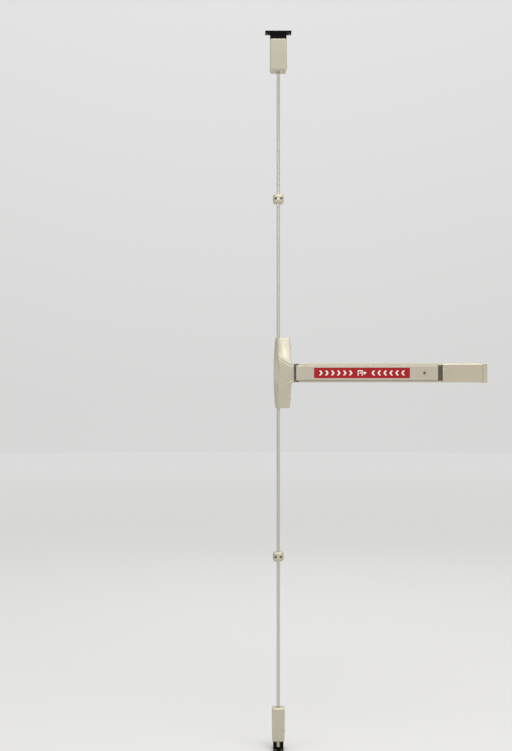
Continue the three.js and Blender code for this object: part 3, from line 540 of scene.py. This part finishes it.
def screw(node, axis, cu, cv, tip, head, top, shank_r, head_r, drive=3.0, dome=0.5, mat=None):
    """Pan head screw with a hex socket. tip, head and top are places along the axis: shank end, under the head and crown."""
    s = 1 if top > head else -1
    h = abs(top - head)
    prof = [(0, tip), (shank_r * 0.75, tip), (shank_r, tip + s * shank_r * 0.5)]
    # rolled thread
    pitch, length = shank_r * 0.55, abs(head - tip) - shank_r * 0.5
    k = int(length / pitch)
    for i in range(1, max(2, k)):
        w = tip + s * (shank_r * 0.5 + i * pitch)
        prof += [(shank_r * 0.86, w - s * pitch * 0.25), (shank_r, w + s * pitch * 0.1)]
    prof += [(shank_r * 0.9, head), (head_r - 0.15, head), (head_r, head + s * 0.2)]
    prof += [(head_r, head + s * h * (1 - dome))]
    for i in range(1, 6):
        a = i / 6 * math.pi / 2
        prof.append((head_r * (0.72 + 0.28 * math.cos(a)), head + s * h * (1 - dome + dome * math.sin(a))))
    prof += [(head_r * 0.66, top), (0, top)]
    o = turned(axis, cu, cv, prof, 28)
    depth = min(1.3, h * 0.75)
    a, b = sorted((top - s * depth, top + s * 2))
    cut(o, prism(axis, hexagon(cu, cv, drive, 15), a, b))
    return place(o, node, mat, angle=40)


screw("end_cap_screw_upper", "X", 20, 14, 624.5, CAP1 - 1.3, CAP1 - 0.1, 2, 3.9)
screw("end_cap_screw_lower", "X", 20, -14, 624.5, CAP1 - 1.3, CAP1 - 0.1, 2, 3.9)

# dark guide between the pad and the filler cover: a ribbed plastic frame
guide_block = prism("X", fillet([(2.3, -23.3), (42.5, -23.3), (42.5, 23.3), (2.3, 23.3)], [1.5, 2.2, 2.2, 1.5], 4), 484.2, 497.7)
cut(
    guide_block,
    block(486.4, 495.5, -1, 40, -20.5, 20.5),
    *[block(x, x + 1.2, 41.5, 44, -19.5, 19.5) for x in (486.6, 489.4, 492.2, 495.0)],
)
soften(tidy(guide_block), 0.35, 2, 40)
place(guide_block, "slide_guide")

# ------------------------------------------------------------------ push pad
PF = 60.0


def pad_outline(half, face, back, r):
    return fillet([(back, -half), (face, -half), (face, half), (back, half)], [0.2, r, r, 0.2], 6)


pad = prism("X", pad_outline(22.7, PF, 30, 2.4), 55, 481.4)
cut(pad, prism("X", fillet([(20, -20.9), (58.2, -20.9), (58.2, 20.9), (20, 20.9)], [0, 1.2, 1.2, 0], 4), 50, 490))
cut(
    pad,
    turned("Y", 441, 0, [(0, 50), (3.9, 50), (3.9, 59.3), (4.7, 60.2), (4.7, 62), (0, 62)], 40),
    # two shallow lines along the face
    *[prism("X", [(59.72, z - 0.45), (60.4, z - 0.45), (60.4, z + 0.45), (59.72, z + 0.45)], 50, 490) for z in (-19.2, 19.2)],
)
soften(tidy(pad), 0.18, 2, 40)
place(pad, "push_pad", "pad")

eyelet = turned("Y", 441, 0, [(0, 57.2), (3.75, 57.2), (3.75, 60.0), (5.7, 60.0), (5.9, 60.15), (5.7, 60.42), (4.9, 60.55), (0, 60.55)], 48)
cut(eyelet, prism("Y", hexagon(441, 0, 5.7, 0), 50, 62))
place(eyelet, "push_pad", "satin_screw", name="key_hole_eyelet", replaces=False, angle=30)

for node, x0, x1, inner0, inner1 in (("pad_end_left", 53.4, 54.9, 54.4, 60.4), ("pad_end_right", 481.5, 483.0, 476.0, 482.0)):
    end = prism("X", pad_outline(22.7, PF, 30, 2.4), x0, x1)
    soften(end, 0.35, 2, 60)
    plug = prism("X", fillet([(30, -20.6), (57.9, -20.6), (57.9, 20.6), (30, 20.6)], [0, 1.2, 1.2, 0], 4), inner0, inner1)
    lo_x, hi_x = (54.9, 62) if node == "pad_end_left" else (474, 481.5)
    cut(plug, block(lo_x, hi_x, 20, 55.5, -18, 18))
    join(end, plug)
    place(tidy(end), node, "pad" if node == "pad_end_left" else None)

# label: a thin red plate with a rounded outline, and generic white marks standing slightly proud
L0, L1, LH = 107.3, 396.7, 15.75
label = prism("Y", fillet([(L0, -LH), (L1, -LH), (L1, LH), (L0, LH)], 1.8, 6), 60.02, 60.5)
soften(label, 0.15, 2, 60)
place(label, "pad_label")


def marks():
    """Chevrons running in from both sides to a plain door-and-arrow sign."""
    out = []
    h, w, t = 7.4, 5.6, 5.6
    for side in (-1, 1):
        for k in range(6):
            x = 252 + side * (34 + k * 18.0)
            tip = -side * w
            a, b = x, x + side * t
            out.append([(a, h), (b, h), (b + tip, 0), (b, -h), (a, -h), (a + tip, 0)])
    out.append([(239, -8.2), (242, -8.2), (242, 5.2), (254, 5.2), (254, 8.2), (239, 8.2)])  # door frame
    out.append([(254, 8.2), (254, 3.2), (251.2, 3.2), (251.2, 8.2)])
    out.append([(254, -8.2), (254, -3.2), (251.2, -3.2), (251.2, -8.2)])
    out.append([(245, -1.5), (258.5, -1.5), (258.5, -5.2), (266.5, 0), (258.5, 5.2), (258.5, 1.5), (245, 1.5)])  # arrow
    return out


parts = [prism("Y", outline, 60.42, 60.58) for outline in marks()]
sign = join(parts[0], *parts[1:])
place(sign, "pad_label", "white", name="label_marks", replaces=False, weighted=False)

# ------------------------------------------------------------------ centre case
CL_MID, CL_END, CR_MID, CR_END, COLLAR, CH, CF = -13.8, -9.0, 39.2, 35.0, 47.9, 107.0, 48.0


def case_left(z):
    return CL_MID + (CL_END - CL_MID) * min(1.0, abs(z) / CH) ** 2.4


def case_right(z):
    a = abs(z)
    if a <= RH:
        return COLLAR
    if a < RH + 9.8:
        s = 1 - (a - RH) / 9.8
        return CR_MID + (COLLAR - CR_MID) * (1 - math.sqrt(max(0.0, 1 - s * s)))
    return CR_MID + (CR_END - CR_MID) * (a - RH - 9.8) / (CH - RH - 9.8)


def crease(x):
    """Height of the crease between the tongue and the wings."""
    if x >= 39.6:
        return 23.0
    return 23.0 + 22.0 * ((39.6 - x) / 38.6) ** 1.35


def bevel_edge(z):
    a = min(1.0, abs(z) / 62.0)
    return 1.2 + 4.0 * (1 - a * a) ** 1.5


def case_face(x, z):
    u = abs(z) - crease(x)
    d = CF - 1.0 * math.exp(-((u / 2.1) ** 2))  # groove along the crease
    if u > 0:
        w = min(1.0, u / 26.0)
        w = w * w * (3 - 2 * w)
        d -= 0.115 * u + 0.0006 * u * u + 1.5 * w * ((x - 29.0) / 20.0) ** 2
    return d


COLS = 18
EDGE = 2.2  # radius of the case's outer edges
NEAR = [0.0, 0.6, 1.2, 2.0, 3.2, 5.0]
FAR = [0.012, 0.03, 0.055, 0.09, 0.13, 0.18, 0.24, 0.31, 0.38, 0.46, 0.54, 0.62, 0.7, 0.78, 0.86, 0.93, 0.975, 1.0]
TONGUE = [0.0, 0.2, 0.4, 0.6, 0.76, 0.88]
TONGUE_NEAR = [3.0, 1.9, 1.2, 0.6]


def case_row(kind, value, side):
    """One row across the face, from the bevel to the right edge: points (x, z)."""
    row = []
    for i in range(COLS + 1):
        s = i / COLS
        z, x = 0.0, bevel_edge(0) + s * 36
        for _ in range(40):
            c = crease(x)
            if kind == "tongue":
                z = value * (c - 3.0)
            elif kind == "below":
                z = c - value
            elif kind == "near":
                z = c + value
            else:
                z = c + 5.0 + value * (CH - EDGE - c - 5.0)
            x = bevel_edge(z) + s * (case_right(z) - EDGE - bevel_edge(z))
        row.append((x, side * z))
    return row


def case_ring(row, q=0.0):
    """The section for one row: left wall, bevel, face, rounded edge and right wall. q draws it in, for the ends."""
    z0 = row[0][1]
    xl, xb = case_left(z0) + q, row[0][0]
    d = case_face(xb, z0) - q
    low = d - 13.0
    ring = [(xl, 0.0, z0), (xl, low * 0.5, z0), (xl, low - 2.2, z0), (xl + 0.2, low - 1.1, z0), (xl + 0.75, low - 0.1, z0), (xl + 1.7, low + 0.9, z0)]
    ax, ad, bx, bd = xl + 1.7, low + 0.9, xb - 4.6, d - 3.4
    ring += [(ax + (bx - ax) * k / 5, ad + (bd - ad) * k / 5, z0) for k in range(1, 6)]
    for k in range(1, 5):  # soft edge between bevel and face
        t = k / 5
        cx, cd = xb - 1.4, d - 0.1
        ring.append(((1 - t) ** 2 * bx + 2 * t * (1 - t) * cx + t * t * xb, (1 - t) ** 2 * bd + 2 * t * (1 - t) * cd + t * t * (d - 0.05), z0))
    for i, (x, z) in enumerate(row):
        ring.append((x - q * i / COLS, case_face(x, z) - q - (0.05 if i == 0 else 0.0), z))
    x, z = row[-1]
    x, dd = x - q, case_face(x, z) - q
    for k in range(1, 6):
        a = math.radians(18 * k)
        ring.append((x + EDGE * math.sin(a), dd - EDGE + EDGE * math.cos(a), z))
    ring += [(x + EDGE, dd * 0.5, z), (x + EDGE, 0.0, z)]
    return ring


def case_grid():
    up = [("tongue", v) for v in TONGUE] + [("below", v) for v in TONGUE_NEAR] + [("near", v) for v in NEAR] + [("far", v) for v in FAR]
    half = [case_row(kind, v, 1) for kind, v in up]
    rings = [case_ring(row) for row in half]
    for k in range(1, 6):
        a = math.radians(18 * k)
        z = CH - EDGE + EDGE * math.sin(a)
        end = [(x, CH - EDGE) for x, _ in half[-1]]
        rings.append([(x, d, z) for x, d, _ in case_ring(end, EDGE * (1 - math.cos(a)))])
    return [[(x, d, -z) for x, d, z in ring] for ring in rings[:0:-1]] + rings


def grid_solid(rings, name="tool"):
    n = len(rings[0])
    verts = [p for ring in rings for p in ring]
    faces = []
    for i in range(len(rings) - 1):
        for j in range(n):
            k = (j + 1) % n
            faces.append((i * n + j, i * n + k, (i + 1) * n + k, (i + 1) * n + j))
    faces.append(tuple(range(n)))
    last = (len(rings) - 1) * n
    faces.append(tuple(range(last + n - 1, last - 1, -1)))
    return obj(name, verts, faces)


def cavity_ring(z):
    """The hollow's section, drawn simply a wall thickness inside."""
    outer = abs(z) + 2.0
    l, r = case_left(outer) + 2.0, case_right(outer) - 2.0
    dc = case_face(20, outer) - 2.6
    return [(l, -6, z), (l, dc - 15, z), (l + 1.6, dc - 12.2, z), (3.6, dc - 1.2, z), (6.4, dc, z), (r - 3, dc, z), (r - 0.9, dc - 0.9, z), (r, dc - 3, z), (r, -6, z)]


def case_cavity():
    half = [0, 26.7, 27.6, 29.5, 33, 37.5, 43, 56, 69, 82, 93, 101, 105]
    return grid_solid([cavity_ring(z) for z in [-v for v in half[:0:-1]] + half])


def case_tools():
    return [
        block(40, 50, -1, 24, -16.5, 16.5),
        rod("Z", 0, 18, 6.2, 100, 110, 40), rod("Z", 0, 18, 6.2, -110, -100, 40),
        rod("X", 11, 80, 1.9, 33, 42, 24), rod("X", 11, -80, 1.9, 33, 42, 24),
    ]


case = cut(grid_solid(case_grid()), case_cavity(), *case_tools())
tidy(case, 0.05)
place(case, "centre_cover", angle=38)

for node, z in (("cover_screw_upper", 80), ("cover_screw_lower", -80)):
    face = 39 + (35 - 39) * (80 - 45) / (107 - 45) + 0.3
    screw(node, "X", 11, z, 28, face, face + 1.7, 1.55, 3.2, 2.4, mat="satin_screw")

# ------------------------------------------------------------------ rods
HEAD = 50.9561
TOP_FOOT, LOW_HEAD = 962.0, -1052.0


def steel_rod(node, z0, z1):
    c = 0.8
    o = turned("Z", 0, 18, [(0, z0), (5 - c, z0), (5, z0 + c), (5, z1 - c), (5 - c, z1), (0, z1)], 48)
    return place(o, node, angle=30)


u_lo, u_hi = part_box("upper_rod")
l_lo, l_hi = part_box("lower_rod")
steel_rod("upper_rod", u_lo.z / MM, u_hi.z / MM)
steel_rod("lower_rod", l_lo.z / MM, l_hi.z / MM)

# ------------------------------------------------------------------ rod guides
def pillow(w, h, corner, depth, edge, n=10, back=0.0):
    """A rounded block standing on the door: outline with round corners, and a large round on its front edge."""
    rings = []

    def ring(inset, d):
        o = fillet([(-w + inset, -h + inset), (w - inset, -h + inset), (w - inset, h - inset), (-w + inset, h - inset)], max(0.6, corner - inset), 7)
        rings.append([(x, d, z) for x, z in o])

    ring(0.5, back)
    ring(0.0, back + 0.5)
    ring(0.0, (back + depth - edge) * 0.5)
    for k in range(n + 1):
        a = math.radians(90.0 * k / n)
        ring(edge * (1 - math.cos(a)), depth - edge + edge * math.sin(a))
    return grid_solid(rings)


def rod_guide(node, z):
    o = pillow(16.75, 15.75, 10.0, 27.0, 9.4)
    tools = [rod("Z", 0, 18, 5.4, -20, 20, 40)]
    for s in (-1, 1):
        tools.append(rod("Y", s * 8.6, 0, 2.1, -1, 30, 24))
        tools.append(turned("Y", s * 8.6, 0, [(0, 20.8), (3.4, 20.8), (3.4, 24.4), (4.2, 26.6), (4.2, 30), (0, 30)], 36))
    cut(o, *tools)
    tidy(o, 0.05)
    o.data.transform(Matrix.Translation((0, 0, z * MM)))
    place(o, node, angle=40)


for side, z in (("upper", 532), ("lower", -561)):
    rod_guide(f"{side}_rod_guide", z)
    screw(f"{side}_guide_screw_left", "Y", -8.6, z, 0.3, 21.1, 23.6, 1.8, 3.1, 2.6)
    screw(f"{side}_guide_screw_right", "Y", 8.6, z, 0.3, 21.1, 23.6, 1.8, 3.1, 2.6)

# ------------------------------------------------------------------ top latch
TL, TB, TT, TF = 25.75, 918.0, 1015.5, 42.0


def box_cover(inset, zb, zt, half_b, half_t, face, side, low, high, lean=0.0, belly=0.0):
    """A cover open to the door, as sections stacked up Z. side is the round on its front vertical edges; low and high are
    the rounds at the bottom and top, seen from the front and from the side. lean drops the top's back edge, and belly is how
    far the crowned front falls back at the top."""
    back = -6.0 if inset else 0.0
    zb, zt, face, side = zb + inset, zt - inset, face - inset, side - inset
    low = [max(0.3, r - inset) for r in low]
    high = [max(0.3, r - inset) for r in high]
    n = 9
    zs = [zb + max(low) * (1 - math.cos(math.radians(90 * k / n))) for k in range(n + 1)]
    zs += [zs[-1] + (zt - max(high) - zs[-1]) * k / 12 for k in range(1, 12)]
    zs += [zt - max(high) * (1 - math.sin(math.radians(90 * k / n))) for k in range(n + 1)]

    def pull(z, radii, i):
        r, gap = radii[i], (z - zb) if radii is low else (zt - z)
        return r - math.sqrt(max(0.0, r * r - (r - gap) ** 2)) if gap < r else 0.0

    rings = []
    for z in zs:
        t = (z - zb) / (zt - zb)
        w = half_b + (half_t - half_b) * t - inset - pull(z, low, 0) - pull(z, high, 0)
        f = face - pull(z, low, 1) - pull(z, high, 1) - belly * ((t - 0.4) / 0.6) ** 2
        ring = [(-w, back), (-w, (f - side) * 0.5), (-w, f - side)]
        ring += [(-w + side * (1 - math.cos(a)), f - side + side * math.sin(a)) for a in [math.radians(90 * k / 8) for k in range(1, 9)]]
        ring += [(w - side * (1 - math.sin(a)), f - side + side * math.cos(a)) for a in [math.radians(90 * k / 8) for k in range(0, 9)]]
        ring += [(w, (f - side) * 0.5), (w, back)]
        k = min(1.0, max(0.0, (z - (zt - 14)) / 14))
        rings.append([(x, d, z - lean * k * (1 - d / face)) for x, d in ring])
    return grid_solid(rings)


def latch_shell(inset):
    return box_cover(inset, TB, TT, TL, TL, TF, 5.5, (8.0, 6.5), (1.6, 3.0))


top_cover = latch_shell(0)
cut(
    top_cover, latch_shell(2),
    prism("Z", fillet([(-11.6, 7.4), (11.6, 7.4), (11.6, 28.6), (-11.6, 28.6)], 1.2, 4), TT - 5, TT + 2),
    rod("Z", 0, 18, 6.2, TB - 2, TB + 5, 40),
    rod("X", 11, 940, 1.9, 20, 30, 24),
)
tidy(top_cover, 0.05)
place(top_cover, "top_latch_cover", angle=38)
screw("top_cover_screw", "X", 11, 940, 18, TL + 0.3, TL + 2, 1.55, 3.2, 2.4, mat="satin_screw")

BT = 1027.5
bolt = prism("X", fillet([(9, TOP_FOOT), (27, TOP_FOOT), (27, BT - 9), (20, BT), (9, BT)], [0.4, 0.4, 1.2, 1.2, 1.0], 5), -9.5, 9.5)
join(bolt, block(-10.8, 10.8, 9, 27, TOP_FOOT, 1000))
cut(bolt, rod("Z", 0, 18, 5.3, TOP_FOOT - 1, TOP_FOOT + 14, 40))
soften(tidy(bolt), 0.5, 3, 40)
place(bolt, "top_bolt")

# strike on the frame head
ST = 1041.0
strike = prism("Z", fillet([(-40, 2), (40, 2), (40, 36), (-40, 36)], 2.5, 6), ST - 5, ST)
join(strike, prism("Z", fillet([(-25, 3), (25, 3), (25, 35), (-25, 35)], 2.0, 5), 1018, ST - 4))
cut(
    strike,
    prism("Z", fillet([(-13.5, 7.5), (13.5, 7.5), (13.5, 30), (-13.5, 30)], 1.0, 4), 1016, ST - 7.5),
    *[rod("Z", s * 33, 19, 2.4, ST - 8, ST + 2, 28) for s in (-1, 1)],
)
soften(tidy(strike), 0.6, 3, 45)
place(strike, "top_strike")
for node, s in (("top_strike_screw_left", -1), ("top_strike_screw_right", 1)):
    screw(node, "Z", s * 33, 19, ST - 0.3, ST - 5.3, ST - 7.3, 2, 3.9, 2.6)

# ------------------------------------------------------------------ bottom latch
BLT, BLB, BHT, BHB, BF = -1019.0, -1122.0, 19.75, 18.75, 35.0


def foot_shell(inset):
    return box_cover(inset, BLB, BLT, BHB, BHT, BF, 5.0, (1.5, 2.0), (5.0, 8.5), 3.2, 3.4)


foot = foot_shell(0)
cut(
    foot, foot_shell(2),
    rod("Z", 0, 18, 6.2, BLT - 12, BLT + 2, 40), rod("Z", 0, 18, 7.6, BLB - 2, BLB + 5, 40),
    rod("X", 9, -1096, 1.9, 14, 24, 24),
)
tidy(foot, 0.05)
place(foot, "bottom_latch_cover", angle=38)
screw("bottom_cover_screw", "X", 9, -1096, 11.5, 19.4, 21, 1.55, 3.0, 2.4, mat="satin_screw")

TIP = -1143.0
low_bolt = turned(
    "Z", 0, 18,
    [(0, TIP), (4.9, TIP), (5.4, TIP + 0.3), (6.6, TIP + 2.0), (6.8, TIP + 2.8), (6.8, LOW_HEAD - 30.4), (7.1, LOW_HEAD - 30), (7.6, LOW_HEAD - 29.4), (7.6, LOW_HEAD - 0.6), (7.0, LOW_HEAD), (0, LOW_HEAD)],
    48,
)
cut(low_bolt, rod("Z", 0, 18, 5.3, LOW_HEAD - 18, LOW_HEAD + 1, 40))
place(low_bolt, "bottom_bolt", angle=35)

FL = -1148.0
keeper = prism("Z", fillet([(-15.5, 2), (15.5, 2), (15.5, 44), (-15.5, 44)], [1, 1, 3, 3], 5), FL, FL + 3)
join(
    keeper,
    prism("Z", fillet([(-15.5, 2), (-8, 2), (-8, 33), (-15.5, 33)], [1, 0.2, 1.5, 1.5], 4), FL + 1, -1124.5),
    prism("Z", fillet([(8, 2), (15.5, 2), (15.5, 33), (8, 33)], [0.2, 1, 1.5, 1.5], 4), FL + 1, -1124.5),
    block(-12, 12, 2, 10.5, FL + 1, -1133),
)
cut(keeper, *[rod("Z", s * 9, 38.5, 2.2, FL - 1, FL + 5, 28) for s in (-1, 1)])
soften(tidy(keeper), 0.5, 3, 45)
place(keeper, "floor_strike")
for node, s in (("floor_strike_screw_left", -1), ("floor_strike_screw_right", 1)):
    screw(node, "Z", s * 9, 38.5, FL + 0.3, FL + 3.3, FL + 5, 1.8, 3.5, 2.6)

# ------------------------------------------------------------------ springs
def spring(axis, cu, cv, a, b, mean, wire, turns, name):
    """Compression spring with closed ends, as a wound tube."""
    steps, sides, verts, faces = 26, 10, [], []
    n = int((turns + 2) * steps)
    length = b - a - wire
    put = {
        "X": lambda u, v, w: (w, cu + u, cv + v),
        "Z": lambda u, v, w: (cu + u, cv + v, w),
    }[axis]
    for i in range(n + 1):
        q = i / steps
        # flat for a turn at each end
        if q < 1:
            w = 0.95 * wire * q
        elif q > turns + 1:
            w = length - 0.95 * wire * (turns + 2 - q)
        else:
            w = 0.95 * wire + (length - 1.9 * wire) * (q - 1) / turns
        ang = 2 * math.pi * q
        taper = 0.55 if i in (0, n) else 1.0
        for k in range(sides):
            t = 2 * math.pi * k / sides
            r = mean + taper * wire / 2 * math.cos(t)
            verts.append(put(r * math.cos(ang), r * math.sin(ang), a + wire / 2 + w + taper * wire / 2 * math.sin(t)))
    for i in range(n):
        for k in range(sides):
            m = (k + 1) % sides
            faces.append((i * sides + k, i * sides + m, (i + 1) * sides + m, (i + 1) * sides + k))
    faces.append(tuple(range(sides)))
    faces.append(tuple(range((n + 1) * sides - 1, n * sides - 1, -1)))
    return obj(name, verts, faces)


sp_lo, sp_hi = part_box("return_spring")
coil = spring("X", 23.5, 0, sp_lo.x / MM, sp_hi.x / MM, 5.6, 1.5, 7, "return_spring_shape")
place(coil, "return_spring", weighted=False)
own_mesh(coil)
sp_lo, sp_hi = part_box("top_bolt_spring")
coil = spring("Z", 0, 18, sp_lo.z / MM, sp_hi.z / MM, 7.4, 1.2, 6, "top_bolt_spring_shape")
place(coil, "top_bolt_spring", weighted=False)
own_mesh(coil)

# ------------------------------------------------------------------ CAD nodes that stay
for name, o in frame["nodes"].items():
    if o.hide_render:
        continue
    o.data.materials.clear()
    o.data.materials.append(M[SLOT_MATERIAL[NODE_SLOT[name]]])
    for p in o.data.polygons:
        p.material_index = 0
    w = o.modifiers.new("weld", "WELD")
    w.merge_threshold = 1e-6
    d = o.modifiers.new("planar", "DECIMATE")
    d.decimate_type = "DISSOLVE"
    d.angle_limit = math.radians(0.5)
    b = o.modifiers.new("bevel", "BEVEL")
    b.width = 0.25 * MM
    b.segments = 2
    b.limit_method = "ANGLE"
    b.angle_limit = math.radians(38)

# ------------------------------------------------------------------ stage and light
FLOOR_Z = -1.148
bm = bmesh.new()
bmesh.ops.create_circle(bm, cap_ends=True, radius=14.0, segments=96)
me = bpy.data.meshes.new("floor")
bm.to_mesh(me)
bm.free()
floor = bpy.data.objects.new("floor", me)
floor.location = (0, 0, FLOOR_Z)
scene.collection.objects.link(floor)
fm = bpy.data.materials.new("floor")
fm.use_nodes = True
fb = fm.node_tree.nodes["Principled BSDF"]
# painted light: the floor's colour ramps from darker near the object to lighter far off, making up for the lamps
# falling off with distance so the floor meets the sky without a seam
fc = fm.node_tree.nodes.new("ShaderNodeTexCoord")
fl = fm.node_tree.nodes.new("ShaderNodeVectorMath")
fl.operation = "LENGTH"
fm.node_tree.links.new(fc.outputs["Object"], fl.inputs[0])
fd = fm.node_tree.nodes.new("ShaderNodeMapRange")
fd.inputs["From Min"].default_value = 1.0
fd.inputs["From Max"].default_value = 11.0
fm.node_tree.links.new(fl.outputs["Value"], fd.inputs["Value"])
fr = fm.node_tree.nodes.new("ShaderNodeValToRGB")
fr.color_ramp.elements[0].color = (0.735, 0.73, 0.722, 1)
fr.color_ramp.elements[1].color = (0.86, 0.86, 0.856, 1)
fm.node_tree.links.new(fd.outputs["Result"], fr.inputs["Fac"])
fm.node_tree.links.new(fr.outputs["Color"], fb.inputs["Base Color"])
fb.inputs["Roughness"].default_value = 0.9
fb.inputs["Specular IOR Level"].default_value = 0.15
floor.data.materials.append(fm)

world = bpy.data.worlds.new("world")
scene.world = world
world.use_nodes = True
wn = world.node_tree
bg = wn.nodes["Background"]
tc = wn.nodes.new("ShaderNodeTexCoord")
sep = wn.nodes.new("ShaderNodeSeparateXYZ")
wn.links.new(tc.outputs["Generated"], sep.inputs["Vector"])
mr = wn.nodes.new("ShaderNodeMapRange")
mr.inputs["From Min"].default_value = -0.02
mr.inputs["From Max"].default_value = 1.0
wn.links.new(sep.outputs["Z"], mr.inputs["Value"])
wr = wn.nodes.new("ShaderNodeValToRGB")
wr.color_ramp.elements[0].color = (0.70, 0.70, 0.695, 1)
wr.color_ramp.elements[1].color = (1.0, 1.0, 1.0, 1)
wn.links.new(mr.outputs["Result"], wr.inputs["Fac"])
side = wn.nodes.new("ShaderNodeMath")
side.operation = "MULTIPLY"
wn.links.new(sep.outputs["X"], side.inputs[0])
wn.links.new(sep.outputs["X"], side.inputs[1])
sr = wn.nodes.new("ShaderNodeMapRange")
sr.inputs["To Min"].default_value = 0.98
sr.inputs["To Max"].default_value = 0.68
wn.links.new(side.outputs["Value"], sr.inputs["Value"])
wn.links.new(wr.outputs["Color"], bg.inputs["Color"])
wn.links.new(sr.outputs["Result"], bg.inputs["Strength"])


def area(name, loc, target, size, power, colour=(1, 1, 1), size_y=None):
    d = bpy.data.lights.new(name, "AREA")
    d.shape = "RECTANGLE"
    d.size = size
    d.size_y = size_y or size
    d.energy = power
    d.color = colour
    o = bpy.data.objects.new(name, d)
    o.location = loc
    o.rotation_euler = (Vector(target) - Vector(loc)).to_track_quat("-Z", "Y").to_euler()
    scene.collection.objects.link(o)
    return o


area("key", (0.9, -2.0, 3.4), (0.1, 0, 0.0), 2.4, 60, (1.0, 0.985, 0.95), 2.4)
glint = area("glint", (0.25, -3.0, 1.2), (0.02, 0, 0.07), 0.34, 0.125, (1.0, 0.985, 0.95), 0.34)
glint.data.spread = math.radians(24)
area("fill_right", (3.0, -2.4, 0.5), (0.3, 0, 0), 1.6, 16, (1.0, 0.98, 0.95), 2.4)
area("fill_left", (-3.2, -1.7, 1.1), (0, 0, 0.05), 1.6, 12.5, (0.84, 0.92, 1.0), 2.4)
area("back_soft", (0.4, 2.8, 1.8), (0.1, 0, 0), 2.2, 12, (1, 1, 1), 2.2)

scene.view_settings.view_transform = "Standard"
scene.view_settings.look = "None"
scene.view_settings.exposure = 0.0
